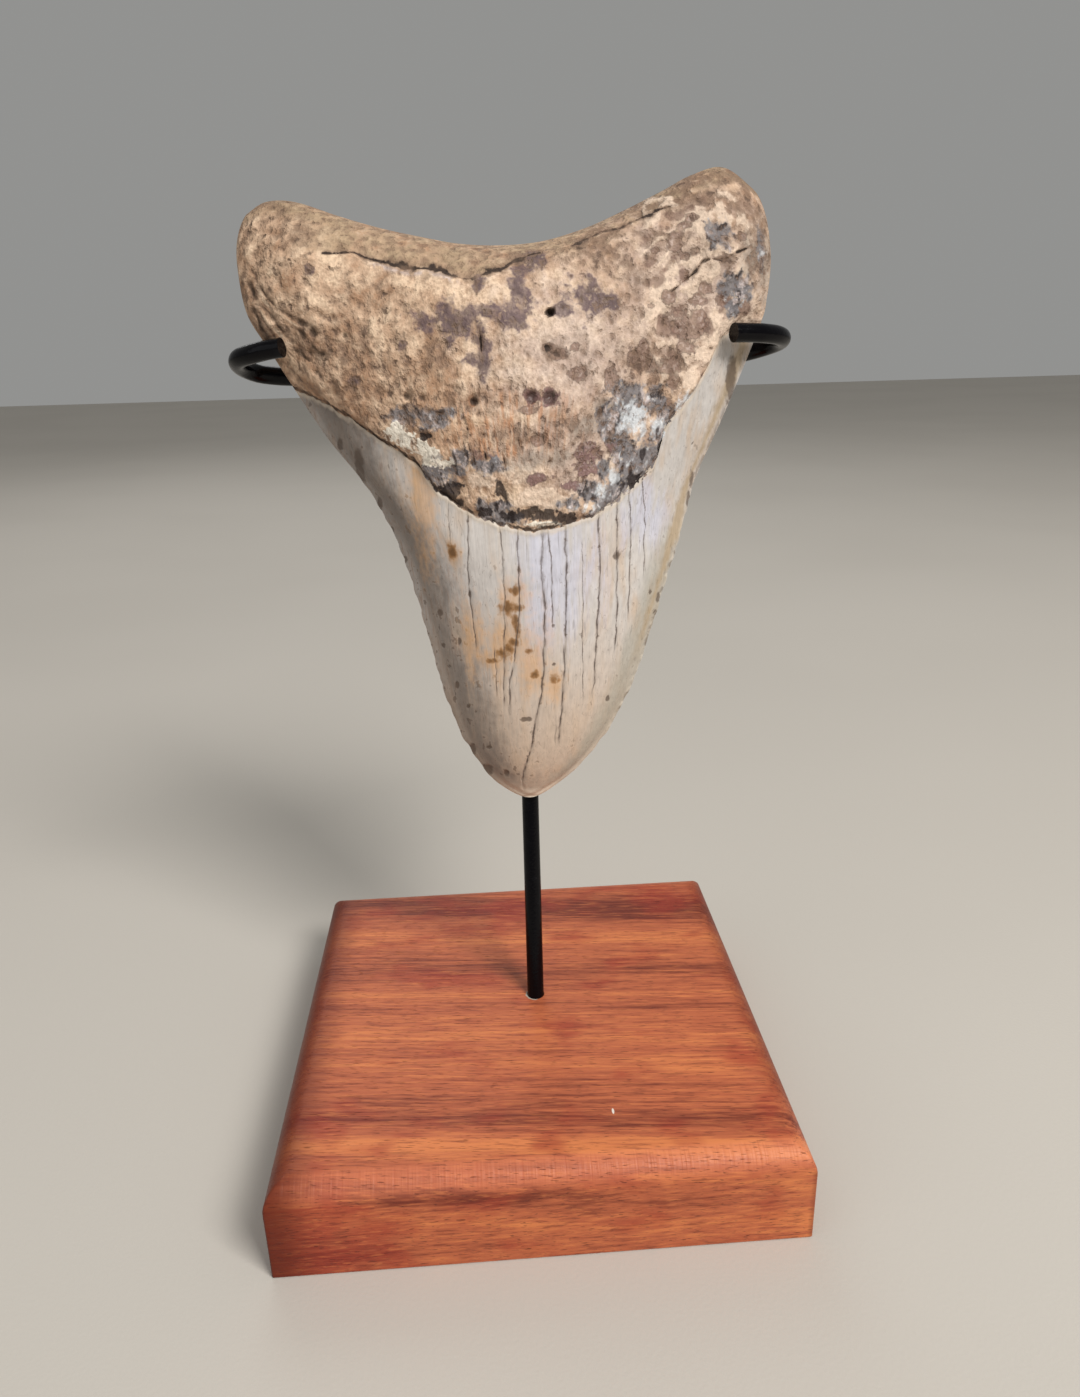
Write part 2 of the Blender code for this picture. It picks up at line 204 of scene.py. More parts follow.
class Value:
    """A number that varies over a surface, held as the output socket of a node."""

    def __init__(self, graph: "Graph", socket: bpy.types.NodeSocket) -> None:
        """Wrap a socket.

        Args:
            graph: Graph that the socket belongs to.
            socket: Output socket that gives the number.
        """
        self.graph = graph
        self.socket = socket

    def __add__(self, other: Operand) -> "Value":
        """Sum."""
        return self.graph.math("ADD", self, other)

    def __radd__(self, other: Operand) -> "Value":
        """Sum, with the value on the right."""
        return self.graph.math("ADD", other, self)

    def __sub__(self, other: Operand) -> "Value":
        """Difference."""
        return self.graph.math("SUBTRACT", self, other)

    def __rsub__(self, other: Operand) -> "Value":
        """Difference, with the value on the right."""
        return self.graph.math("SUBTRACT", other, self)

    def __mul__(self, other: Operand) -> "Value":
        """Product."""
        return self.graph.math("MULTIPLY", self, other)

    def __rmul__(self, other: Operand) -> "Value":
        """Product, with the value on the right."""
        return self.graph.math("MULTIPLY", other, self)

    def __abs__(self) -> "Value":
        """Size without its sign."""
        return self.graph.math("ABSOLUTE", self)

    def most(self, other: Operand) -> "Value":
        """Larger of the two."""
        return self.graph.math("MAXIMUM", self, other)

    def step(self, low: float, high: float) -> "Value":
        """Ease to 0 at low and to 1 at high.

        Args:
            low: Value that gives 0.
            high: Value that gives 1; it may be the smaller one.

        Returns:
            Share between 0 and 1.
        """
        made = self.graph.node(
            "ShaderNodeMapRange",
            {"interpolation_type": "SMOOTHSTEP"},
            {"Value": self, "From Min": low, "From Max": high},
        )
        return Value(self.graph, made.outputs[0])


class Paint:
    """A colour that varies over a surface, built up in layers."""

    def __init__(self, graph: "Graph", colour: Union[Colour, bpy.types.NodeSocket]) -> None:
        """Start from a ground colour.

        Args:
            graph: Graph that the layers are added to.
            colour: Plain colour or socket of the ground.
        """
        self.graph = graph
        self.colour = colour

    def over(
        self, colour: Union[Colour, Value, "Paint"], share: Operand, mode: str = "MIX"
    ) -> "Paint":
        """Lay another colour over this one.

        Args:
            colour: Colour, grey value or paint of the new layer.
            share: How much of it shows, from 0 to 1.
            mode: Blend type of the Mix node.

        Returns:
            The layered paint.
        """
        above = colour.colour if isinstance(colour, Paint) else colour
        made = self.graph.node(
            "ShaderNodeMix",
            {"data_type": "RGBA", "blend_type": mode},
            {0: share, 6: self.colour, 7: above},
        )
        return Paint(self.graph, made.outputs[2])

    def layered(self, *layers: tuple[Any, Operand]) -> "Paint":
        """Lay colours over this one in order, each with how much of it shows."""
        paint = self
        for colour, share in layers:
            paint = paint.over(colour, share)
        return paint


class Graph:
    """Nodes of one material, round a Principled shader."""

    def __init__(self, name: str, constants: Mapping[str, float] = NOTHING) -> None:
        """Make the material.

        Args:
            name: Name of the material.
            constants: Shader sockets that are the same all over, by name.
        """
        self.material = bpy.data.materials.new(name)
        self.material.use_nodes = True
        self.tree = self.material.node_tree
        self.tree.nodes.clear()
        self.shader = self.node("ShaderNodeBsdfPrincipled", inputs=constants)
        output = self.node("ShaderNodeOutputMaterial")
        self.tree.links.new(self.shader.outputs[0], output.inputs["Surface"])
        self.place = self.node("ShaderNodeTexCoord").outputs["Object"]

    def node(
        self,
        kind: str,
        settings: Mapping[str, Any] = NOTHING,
        inputs: Mapping[Any, Any] = NOTHING,
    ) -> bpy.types.Node:
        """Add a node.

        Args:
            kind: Type of the node.
            settings: Its properties by name, set before its sockets.
            inputs: Values, paints, sockets or constants of its sockets, by name or number.

        Returns:
            The node.
        """
        made = self.tree.nodes.new(kind)
        for name, setting in settings.items():
            setattr(made, name, setting)
        for name, given in inputs.items():
            self.feed(made.inputs[name], given)
        return made

    def feed(self, socket: bpy.types.NodeSocket, given: Any) -> None:
        """Link or set one input socket.

        Args:
            socket: Input socket.
            given: Value, paint, output socket or constant.
        """
        if isinstance(given, Value):
            given = given.socket
        if isinstance(given, Paint):
            given = given.colour
        if isinstance(given, bpy.types.NodeSocket):
            self.tree.links.new(given, socket)
        else:
            socket.default_value = given

    def math(self, operation: str, *operands: Operand) -> Value:
        """Result of a Math node."""
        made = self.node("ShaderNodeMath", {"operation": operation}, dict(enumerate(operands)))
        return Value(self, made.outputs[0])

    def field(self, name: str) -> Value:
        """Number stored on the mesh under a name."""
        made = self.node("ShaderNodeAttribute", {"attribute_name": name})
        return Value(self, made.outputs["Fac"])

    def scaled_place(self, sizes: Size3, shifts: Sequence[float]) -> bpy.types.NodeSocket:
        """Place on the object, counted in cells.

        Args:
            sizes: Size of one cell along each axis, in millimetres.
            shifts: Moves the cells along each axis, in cells.

        Returns:
            Socket of the scaled place.
        """
        scale = tuple(PER_METRE / size for size in sizes)
        made = self.node(
            "ShaderNodeVectorMath", {"operation": "MULTIPLY_ADD"},
            {0: self.place, 1: scale, 2: tuple(shifts)},
        )
        return made.outputs[0]

    def pattern_place(self, sizes: Size3, seed: float) -> bpy.types.NodeSocket:
        """Place counted in cells, moved by a seed so that patterns differ."""
        return self.scaled_place(sizes, [seed * part for part in SEED_PATH])

    def turn(self, axis: str, degrees: float) -> None:
        """Turn the place that later noises read, about one axis of the object."""
        made = self.node(
            "ShaderNodeVectorRotate", {"rotation_type": f"{axis}_AXIS"},
            {"Vector": self.place, "Angle": math.radians(degrees)},
        )
        self.place = made.outputs[0]

    def noise(self, sizes: Size3, seed: float, detail: float = 2.0) -> Value:
        """Soft noise, mostly between -1 and 1.

        Args:
            sizes: Size of its lumps along each axis, in millimetres.
            seed: Picks one pattern.
            detail: Octaves of finer noise.

        Returns:
            The noise.
        """
        made = self.node(
            "ShaderNodeTexNoise",
            {"noise_dimensions": "3D"},
            {"Vector": self.pattern_place(sizes, seed), "Scale": 1.0, "Detail": detail},
        )
        return Value(self, made.outputs[0]) * 4.0 - 2.0

    def cells(self, sizes: Size3, seed: float) -> Value:
        """Distance to the nearest of scattered points, 0 at the points and about 1 between."""
        made = self.node(
            "ShaderNodeTexVoronoi",
            {"voronoi_dimensions": "3D", "feature": "F1"},
            {"Vector": self.pattern_place(sizes, seed), "Scale": 1.0},
        )
        return Value(self, made.outputs["Distance"])

    def spot(self, centre: Size3, sizes: Size3) -> Value:
        """Distance from one point of the object, counted in the half sizes of a spot.

        Args:
            centre: Middle of the spot, in millimetres.
            sizes: Half sizes of the spot, in millimetres.

        Returns:
            0 at its middle and 1 on its edge.
        """
        moved = self.scaled_place(sizes, [-place / size for place, size in zip(centre, sizes)])
        made = self.node("ShaderNodeVectorMath", {"operation": "LENGTH"}, {0: moved})
        return Value(self, made.outputs["Value"])

    def finish(self, colour: Paint, roughness: Value, height: Value) -> bpy.types.Material:
        """Feed the shader.

        Args:
            colour: Base colour.
            roughness: Roughness.
            height: Relief of the surface in millimetres, as a bump.

        Returns:
            The material.
        """
        self.feed(self.shader.inputs["Base Color"], colour)
        self.feed(self.shader.inputs["Roughness"], roughness)
        bump = self.node("ShaderNodeBump", inputs={"Distance": MM, "Height": height})
        self.feed(self.shader.inputs["Normal"], bump.outputs[0])
        return self.material


# Finishes


@dataclass(frozen=True)
class OiledHardwood:
    """Red-brown open-pored hardwood with an oiled satin surface, grain along X."""

    ground: Colour = tint(188, 102, 68)
    dark: Colour = tint(104, 42, 33)
    light: Colour = tint(226, 136, 82)
    red: Colour = tint(158, 56, 42)
    # Pale pink of the painted highlight on the round-over and of the pale chatter stripes.
    blush: Colour = tint(228, 140, 108)
    pore: Colour = tint(80, 34, 26)
    end_grain: Colour = tint(100, 46, 34)
    # Dark red-brown of the painted shade on the block's flanks.
    painted_flank_shade: Colour = tint(98, 32, 12)
    pale_foot_ring: Colour = tint(176, 168, 156)
    fleck: Colour = tint(236, 226, 214)
    fleck_place: Size3 = (14.3, -36.0, 20.0)
    fleck_size: Size3 = (0.28, 0.9, 2.0)
    sheen_roughness: float = 0.42
    grain_turn: float = 5.0

    def material(self) -> bpy.types.Material:
        """Build the material.

        Returns:
            Wood with growth bands, streaks, pores, cutter marks, one pale fleck, a painted highlight on
            the round-over and painted shade on the flanks.
        """
        graph = Graph("oiled_hardwood", {"Specular IOR Level": 0.22})
        fleck = graph.spot(self.fleck_place, self.fleck_size).step(1.0, 0.6)
        cutter = graph.noise((0.5, 40.0, 40.0), 5.3, 1.0) * graph.field("rounding")
        graph.turn("Z", self.grain_turn)
        band = graph.noise((60.0, 3.4, 3.4), 3.1, 3.0)
        streak = graph.noise((24.0, 0.9, 0.9), 11.3, 4.0)
        ripple = graph.noise((6.5, 0.7, 0.9), 17.9, 4.0)
        dashes = graph.noise((5.5, 0.4, 0.4), 19.4, 4.0)
        fibre = graph.noise((6.0, 0.16, 0.16), 23.7)
        cloud = graph.noise((14.0, 9.0, 9.0), 41.0)
        pores = graph.noise((2.4, 0.2, 0.2), 31.9, 1.0).step(0.5, 1.0)
        tone = graph.field("figure") * 1.15 + band * 0.45 + streak * 0.9 + ripple * 0.45
        ends = graph.field("end_grain")
        paint = Paint(graph, self.ground).layered(
            (self.dark, tone.step(0.0, 1.9) * 0.9),
            (self.light, tone.step(0.1, -1.6) * 0.85),
            (self.red, (cloud + graph.field("blush")).step(0.1, 1.0) * 0.6),
            (self.dark, dashes.step(0.1, 0.9) * 0.55),
            (self.light, dashes.step(-0.15, -0.8) * 0.4),
            (self.dark, fibre.step(0.3, 1.2) * 0.4),
            # Painted highlight: a pale pink band along the front and back round-over.
            (self.blush, graph.field("rounding") * 0.3),
            (self.blush, cutter.step(0.15, 0.8) * 0.14),
            (self.red, cutter.step(-0.15, -0.8) * 0.14),
            (self.pore, pores * 0.6),
            (self.end_grain, ends * 0.45),
            # Painted shade: the left side and the right back edge of the block are darkened.
            (self.painted_flank_shade, graph.field("painted_flank_shade") * 0.75),
            # Pale grey ring round the post's foot, on its lower left side.
            (self.pale_foot_ring, (graph.field("pale_foot_ring") + streak * 0.3).step(0.5, 0.8)),
            (self.fleck, fleck),
        )
        roughness = self.sheen_roughness + fibre * 0.04 + pores * 0.2 + ends * 0.15
        height = streak * 0.015 + fibre * 0.01 - pores * 0.06 + cutter * 0.03
        return graph.finish(paint, roughness, height)


@dataclass(frozen=True)
class BlackPaint:
    """Semi-gloss black paint on steel rod, with dust and a faint orange peel."""

    ground: Colour = tint(5, 4, 7)
    worn: Colour = tint(18, 18, 21)
    grit: Colour = tint(60, 60, 64)
    roughness: float = 0.13

    def material(self) -> bpy.types.Material:
        """Build the material.

        Returns:
            Black paint with faint dust and unevenness.
        """
        graph = Graph("black_paint", {"Specular IOR Level": 0.13})
        peel = graph.noise((0.5, 0.5, 0.5), 2.2)
        dust = graph.noise((2.2, 2.2, 2.2), 8.8, 4.0)
        specks = graph.cells((0.7, 0.7, 0.7), 4.4).step(0.16, 0.06)
        paint = Paint(graph, self.ground).layered(
            (self.worn, dust.step(0.2, 1.3) * 0.7),
            (self.grit, specks * dust.step(0.3, 0.9) * 0.5),
        )
        roughness = self.roughness + dust * 0.06 + specks * 0.2
        return graph.finish(paint, roughness, peel * 0.012 + specks * 0.01)


@dataclass(frozen=True)
class FossilSurface:
    """Sandy porous root bone over pale cracked enamel, stained by minerals."""

    tan: Colour = tint(205, 172, 144)
    sand: Colour = tint(233, 205, 176)
    ochre: Colour = tint(176, 136, 106)
    gap: Colour = tint(130, 105, 87)
    speck: Colour = tint(74, 57, 49)
    # Dark colour of the painted shade in the pits, in the root's cracks and in the crevice along the root
    # line.
    hollow: Colour = tint(48, 36, 31)
    crest: Colour = tint(158, 134, 104)
    # Dark brown of the painted shade in the wrinkles' grooves.
    fold: Colour = tint(82, 64, 50)
    streak: Colour = tint(186, 128, 88)
    cream: Colour = tint(228, 204, 182)
    white: Colour = tint(238, 228, 212)
    grey_white: Colour = tint(164, 152, 140)
    purple: Colour = tint(98, 80, 84)
    brown: Colour = tint(124, 94, 82)
    slate: Colour = tint(124, 121, 124)
    black: Colour = tint(44, 35, 34)
    enamel: Colour = tint(208, 202, 197)
    blue_white: Colour = tint(206, 208, 226)
    beige: Colour = tint(206, 182, 158)
    pink: Colour = tint(186, 158, 140)
    # Grey-brown of the crown's left margin, partly painted shade.
    left_brown_and_shade: Colour = tint(119, 109, 101)
    right_tan: Colour = tint(180, 156, 122)
    grey_green: Colour = tint(166, 162, 148)
    tip_tan: Colour = tint(199, 175, 151)
    rust: Colour = tint(138, 94, 42)
    rust_core: Colour = tint(92, 62, 30)
    rust_halo: Colour = tint(212, 164, 112)
    umber: Colour = tint(88, 72, 60)
    crack: Colour = tint(70, 58, 52)
    crack_shade: Colour = tint(134, 118, 108)
    # Pale colour of the painted highlights on the tip and its right margin, and of the rim under the root
    # line.
    lip: Colour = tint(222, 206, 186)
    ash: Colour = tint(206, 189, 180)
    maroon: Colour = tint(130, 98, 97)
    frost: Colour = tint(224, 227, 230)
    lilac: Colour = tint(214, 198, 194)
    enamel_roughness: float = 0.45
    bone_roughness: float = 0.35
    maroon_gloss: float = 0.4

    def material(self) -> bpy.types.Material:
        """Build the material.

        Returns:
            Enamel below the root line and bone above it.
        """
        graph = Graph("fossil", {"Specular IOR Level": 0.35})
        grain = graph.noise((0.65, 0.65, 0.65), 1.7, 2.0)
        mottle = graph.noise((1.3, 1.3, 1.6), 6.1, 2.0)
        line = graph.field("line")
        fray = graph.field(Mark.SLATE.value).step(-0.9, 0.1) * (grain + mottle) * 0.7
        root = (line + mottle * 0.25 + fray).step(-0.12, 0.12)
        enamel, enamel_height = self.enamel_layers(graph, line, mottle)
        bone, bone_height = self.bone_layers(graph, line, grain, mottle)
        paint = enamel.over(bone, root)
        roughness = self.enamel_roughness + grain * 0.03 + mottle * 0.04
        glossy = graph.field(Mark.MAROON.value).step(-0.05, 0.2)
        roughness = roughness + root * (self.bone_roughness - glossy * self.maroon_gloss)
        height = enamel_height * (1.0 - root) + bone_height * root
        return graph.finish(paint, roughness, height)

    def patch(self, graph: Graph, mark: Mark, ragged: Value, soft: float = 0.15) -> Value:
        """Share of one kind of patch.

        Args:
            graph: Graph of the material.
            mark: Kind of patch.
            ragged: Noise that frays its edge.
            soft: Width of the edge's fade.

        Returns:
            1 inside the patches and 0 outside them.
        """
        return (graph.field(mark.value) + ragged).step(-soft, soft)

    def bone_layers(
        self, graph: Graph, line: Value, grain: Value, mottle: Value
    ) -> tuple[Paint, Value]:
        """Colour and relief of the root.

        Args:
            graph: Graph of the material.
            line: Height above the root line in millimetres.
            grain: Noise of sand grain size.
            mottle: Noise of speckle size.

        Returns:
            Paint of the bone and its fine relief in millimetres.
        """
        cloud = graph.noise((9.0, 9.0, 7.0), 14.2, 3.0)
        ragged = graph.noise((3.4, 3.4, 3.4), 37.9, 4.0) * 0.5 + mottle * 0.3 + grain * 0.15
        depth = graph.node("ShaderNodeSeparateXYZ", inputs={0: graph.place}).outputs["Y"]
        fan = {"X": graph.field("fan_turn"), "Y": depth, "Z": graph.field("fan_reach")}
        graph.place = graph.node("ShaderNodeCombineXYZ", inputs=fan).outputs[0]
        lumps = graph.noise((2.2, 2.2, 3.2), 27.5, 3.0)
        gaps = graph.noise((1.1, 1.1, 1.75), 29.8, 3.0)
        threads = graph.noise((0.8, 0.8, 9.0), 33.3, 3.0)
        smear = graph.noise((1.8, 1.8, 4.5), 90.6, 3.0)
        # Soil and painted shade: darker, more ochre and more speckled, mostly along the root's edges and
        # lower left.
        soil_and_shade = self.patch(graph, Mark.SOIL_AND_SHADE, ragged, 0.8)
        bare = self.patch(graph, Mark.BARE, ragged, 0.8)
        thin = (gaps * 0.8 + mottle * 0.5).step(1.1, -0.3) * 0.5 + 0.5
        streaky, crest = graph.field("streak"), graph.field("crest")
        network = graph.field("network") + mottle * 0.2
        cream = self.patch(graph, Mark.CREAM, ragged + 0.1, 0.25).most(network.step(0.2, 0.6))
        sandy = lumps + grain * 0.4 + cloud * 0.6 - soil_and_shade * 0.5 + bare * 0.5
        ochre = soil_and_shade * 0.6 - bare * 0.6 - lumps - cloud * 0.9
        paint = Paint(graph, self.tan).layered(
            (self.sand, sandy.step(-0.3, 0.8) * 0.85),
            (self.ochre, ochre.step(0.15, 1.0) * 0.75),
            (self.ash, self.patch(graph, Mark.ASHEN, ragged, 0.9) * 0.6),
            (self.crest, crest * (cloud + lumps + grain * 0.5).step(-1.3, 0.8) * 0.75),
            (self.streak, streaky * threads.step(-0.2, 0.6) * 0.8),
            (self.gap, streaky * threads.step(-0.45, -1.0) * 0.7),
            (self.cream, cream * 0.9),
            (self.brown, network.step(-0.15, -0.6) * 0.7),
            (self.grey_white, self.patch(graph, Mark.GREY_WHITE, ragged, 0.5) * thin * 0.7),
        )
        blotch = graph.field(Mark.BROWN.value) + ragged * 1.2
        purple = graph.field(Mark.PURPLE.value) + ragged * 1.5
        specked = (gaps + lumps + grain * 0.6).step(-0.2, 1.1)
        maroon = graph.field(Mark.MAROON.value) + mottle * 0.5 + gaps * 0.25
        paint = paint.layered(
            (self.brown, blotch.step(-0.2, 0.2) * (lumps * 0.2 + 0.7)),
            (self.ash, blotch.step(0.1, 0.7) * (lumps + grain).step(0.0, 0.9) * 0.45),
            (self.speck, abs(blotch + 0.05).step(0.25, 0.02) * 0.5),
            (self.purple, purple.step(-0.3, 0.45) * thin * 0.92),
            (self.speck, purple.step(0.0, 0.9) * specked * 0.65),
            (self.maroon, maroon.step(-0.2, 0.3) * 0.88),
            # Lilac mottling on the maroon patches, partly a painted highlight.
            (self.lilac, maroon.step(0.2, 0.6) * (lumps + gaps).step(0.2, 1.0) * 0.35),
            (self.speck, abs(maroon - 0.1).step(0.25, 0.02) * 0.35),
        )
        slate = self.patch(graph, Mark.SLATE, ragged * 1.6 + 0.3, 0.35)
        flakes = (gaps + mottle).step(0.9, 0.1) * 0.7 + 0.3
        white = self.patch(graph, Mark.WHITE, ragged * 1.5) * flakes
        frost = self.patch(graph, Mark.FROST, ragged + smear * 0.7, 0.4)
        paint = paint.layered(
            (self.slate, slate * 0.92),
            (self.black, slate * (smear + mottle * 0.7 + gaps * 0.5).step(0.0, 0.8) * 0.92),
            (self.lilac, slate * (lumps - smear * 0.5 + grain * 0.4).step(0.2, 0.9) * 0.65),
            (self.frost, slate * (smear + gaps * 0.6).step(-0.55, -1.15) * 0.65),
            (self.white, white),
            (self.frost, frost * (lumps + gaps * 0.8).step(0.8, -0.1) * 0.85),
            (self.black, frost * (gaps + mottle - smear).step(0.7, 1.5) * 0.8),
            (self.slate, frost * smear.step(0.3, 0.9) * 0.6),
        )
        clear = cream.most(frost).most(white * 1.6)
        plain = clear * 0.45 + bare * 0.3 - crest * 0.35
        specks = (gaps * 0.85 + grain * 0.45 + soil_and_shade * 0.6 - cloud * 0.35 - plain).step(0.0, 1.1)
        cores = gaps * 0.9 + soil_and_shade * 0.45 + mottle * 0.5 - clear * 0.6 - bare * 0.2
        cores = cores.step(0.75, 1.35)
        fold = graph.field("fold")
        glossy = maroon.step(0.0, 0.2)
        pitch = self.patch(graph, Mark.BLACK, ragged * 1.2 + gaps * 0.4, 0.25)
        fissure = graph.field("fissure") + mottle * 0.8 + gaps * 0.6
        deep = (cloud + lumps).step(-1.0, 0.3) * 0.4 + 0.55
        crevice = (abs(line - 0.4) + mottle * 0.4 + gaps * 0.3).step(0.6, 0.1)
        broken = (cloud + lumps).step(-0.9, 0.1) * 0.7 + 0.3
        shade = 0.99 + grain * 0.2 + mottle * 0.16 + lumps * 0.07 + cloud * 0.08 - soil_and_shade * 0.1
        paint = paint.layered(
            (self.sand, (gaps + grain * 0.6).step(-0.5, -1.3) * 0.45),
            (self.gap, specks * 0.75),
            (self.speck, cores * 0.6),
            (self.speck, (mottle + grain * 0.6).step(0.8, 1.5) * 0.5),
            # Painted shade in the wrinkles' grooves and painted highlight on their ridges.
            (self.fold, fold.step(-0.05, 0.8) * (gaps * 0.4 + 0.8)),
            (self.sand, fold.step(-0.1, -0.8) * 0.6),
            # Painted shade in the pits, darker where they are deeper.
            (self.hollow, graph.field("hollow").step(0.2, 1.0) * (0.88 - glossy * 0.25)),
            (self.black, pitch * 0.9),
            (self.lilac, graph.field("rim") * (gaps + 0.4).step(0.0, 0.5) * 0.7),
            # Painted shade beside and in the root's cracks.
            (self.gap, fissure.step(3.4, 1.2) * 0.6),
            (self.hollow, fissure.step(1.4, 0.5) * deep),
            # Painted shadow in the crevice under the root's ledge along the root line, broken up.
            (self.hollow, crevice * broken * graph.field("crevice") * 0.9),
        )
        paint = paint.over(shade, 1.0, "MULTIPLY")
        height = grain * 0.05 + mottle * 0.08 + lumps * 0.2 - specks * 0.25 - cores * 0.15
        return paint, height

    def enamel_layers(self, graph: Graph, line: Value, mottle: Value) -> tuple[Paint, Value]:
        """Colour and relief of the crown.

        Args:
            graph: Graph of the material.
            line: Height above the root line in millimetres.
            mottle: Noise of speckle size.

        Returns:
            Paint of the enamel and its fine relief in millimetres.
        """
        bands = graph.noise((2.2, 2.2, 30.0), 44.1, 2.0)
        threads = graph.noise((0.5, 0.5, 18.0), 52.6, 3.0)
        hairs = graph.noise((0.9, 0.9, 30.0), 61.2, 1.0)
        cloud = graph.noise((6.0, 6.0, 12.0), 71.4)
        left_gap = graph.field("left_gap")
        right_gap = graph.field("right_gap")
        height_up = graph.field("height")
        shape = mottle * 0.45 + threads * 0.15
        left = left_gap.step(24.0, 6.0)
        low = height_up.step(68.0, 46.0)
        blue = self.patch(graph, Mark.BLUE_WHITE, bands * 0.8 + threads * 0.35, 0.7)
        # Brown colour and painted shade along the crown's left margin, wider higher up.
        inset = left_gap + bands * 2.0 + cloud * 2.5 + mottle - height_up.step(44.0, 70.0) * 4.0
        brown_and_shade_share = inset.step(16.5, 4.0) * (0.62 + left_gap.step(0.5, 6.0) * 0.26)
        right = abs(right_gap - 2.4) + cloud * 1.2 + bands * 0.8 + mottle * 0.5
        worn = right_gap.step(1.6, 0.4) * (cloud + mottle).step(0.1, 0.7)
        dots = (mottle + cloud * 0.3 + left * 0.25).step(0.75, 1.1)
        # Painted highlights on the serrations along the right edge.
        serration_highlights = (graph.noise((3.0, 3.0, 1.5), 83.0) + 0.2).step(0.0, 0.8) * right_gap.step(1.5, 0.6)
        paint = Paint(graph, self.enamel).layered(
            (self.beige, (bands * 0.7 + cloud * 0.6).step(-0.3, 0.9) * 0.75),
            (self.pink, left * threads.step(-0.4, 0.8) * 0.75),
            (self.tip_tan, (height_up + cloud * 5.0).step(46.0, 10.0) * 0.8),
            (self.blue_white, blue * 0.65),
            (self.left_brown_and_shade, brown_and_shade_share),
            (self.grey_green, (right_gap + bands * 1.2).step(10.0, 5.0) * low * 0.6),
            (self.right_tan, right.step(2.4, 0.2) * height_up.step(26.0, 40.0) * 0.75),
            (self.umber, worn * 0.5),
            (self.umber, threads.step(0.3, 1.2) * 0.4),
            (self.umber, dots * (left * 0.25 + 0.4)),
            # Painted highlight along the right margin of the lower crown.
            (self.lip, right_gap.step(4.0, 1.0) * height_up.step(20.0, 9.0) * 0.6),
            (self.white, serration_highlights * low * 0.4),
            (self.umber, abs(hairs).step(0.045, 0.0) * 0.35),
        )
        halo = self.patch(graph, Mark.RUST_HALO, shape + bands * 0.5, 0.9)
        rust = graph.field(Mark.RUST.value) + shape * 1.6
        crack_share = graph.field("crack_share")
        share = crack_share * (0.72 + threads * 0.5 + mottle * 0.3).step(0.0, 1.0)
        crack = abs(graph.field("crack")) + mottle * 0.25
        beads = crack.step(4.0, 1.5) * mottle.step(0.45, 0.8) * crack_share
        shade = 0.99 - height_up.step(54.0, 76.0) * 0.12 + mottle * 0.08 + threads * 0.09
        paint = paint.layered(
            (self.rust_halo, halo * 0.6),
            (self.rust, rust.step(-0.45, 0.4) * 0.8),
            (self.rust_core, rust.step(0.3, 0.9) * 0.6),
            (self.umber, self.patch(graph, Mark.UMBER, shape, 0.3) * 0.8),
            (self.umber, self.patch(graph, Mark.EDGE_STAIN, mottle * 0.4, 0.3) * 0.75),
            (self.crack_shade, crack.step(3.4, 0.8) * share * 0.45),
            (self.crack, crack.step(1.35, 0.5) * share * 0.88),
            (self.umber, beads * 0.7),
            # Pale rim on the raised enamel edge just under the root line, partly a painted highlight.
            (self.lip, (line + mottle * 0.3).step(-1.3, -0.3) * 0.6),
            # Painted highlight over the last few millimetres of the tip.
            (self.lip, height_up.step(7.0, 1.0) * 0.8),
        )
        paint = paint.over(shade, 1.0, "MULTIPLY")
        height = bands * 0.03 + threads * 0.014 + mottle * 0.008
        return paint, height


@dataclass(frozen=True)
class StudioFloor:
    """Plain pale floor with a matt, faintly uneven surface."""

    ground: Colour = tint(202, 196, 187)
    soft: Colour = tint(199, 193, 184)

    def material(self) -> bpy.types.Material:
        """Build the material.

        Returns:
            Pale matt paint.
        """
        graph = Graph("studio_floor", {"Specular IOR Level": 0.2})
        cloud = graph.noise((240.0, 240.0, 240.0), 1.0)
        grain = graph.noise((0.8, 0.8, 0.8), 2.0)
        paint = Paint(graph, self.ground).over(self.soft, cloud.step(-0.6, 0.8))
        return graph.finish(paint, 0.75 + grain * 0.02, grain * 0.01)


# Meshes


def place_piece(
    name: str,
    mesh: bpy.types.Mesh,
    material: bpy.types.Material,
    pose: Matrix,
    node: str = "",
) -> bpy.types.Object:
    """Add one piece of the object to the scene.

    Args:
        name: Name of the piece.
        mesh: Its mesh.
        material: Its finish.
        pose: Its place in the row frame.
        node: CAD node that it stands for, if any.

    Returns:
        The piece.
    """
    mesh.materials.append(material)
    piece = bpy.data.objects.new(name, mesh)
    bpy.context.scene.collection.objects.link(piece)
    piece.matrix_world = pose
    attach(piece, BODY)
    if node:
        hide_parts(node)
    return piece


def make_mesh(
    name: str,
    vertices: Sequence[Sequence[float]],
    faces: Sequence[Sequence[int]],
    fields: Mapping[str, np.ndarray] = NOTHING,
    sharp_degrees: float = 30.0,
) -> bpy.types.Mesh:
    """Make a smooth mesh that carries fields for its shader.

    Args:
        name: Name of the mesh.
        vertices: Places of its vertices, in metres.
        faces: Vertex numbers of its faces, turned outwards.
        fields: Numbers for each vertex, by the field's name.
        sharp_degrees: Edges that bend more than this stay sharp.

    Returns:
        The mesh.
    """
    mesh = bpy.data.meshes.new(name)
    mesh.from_pydata([tuple(place) for place in vertices], [], [tuple(face) for face in faces])
    mesh.shade_smooth()
    mesh.set_sharp_from_angle(angle=math.radians(sharp_degrees))
    for title, numbers in fields.items():
        layer = mesh.attributes.new(title, "FLOAT", "POINT")
        layer.data.foreach_set("value", np.asarray(numbers, dtype=np.float32).ravel())
    mesh.update()
    return mesh


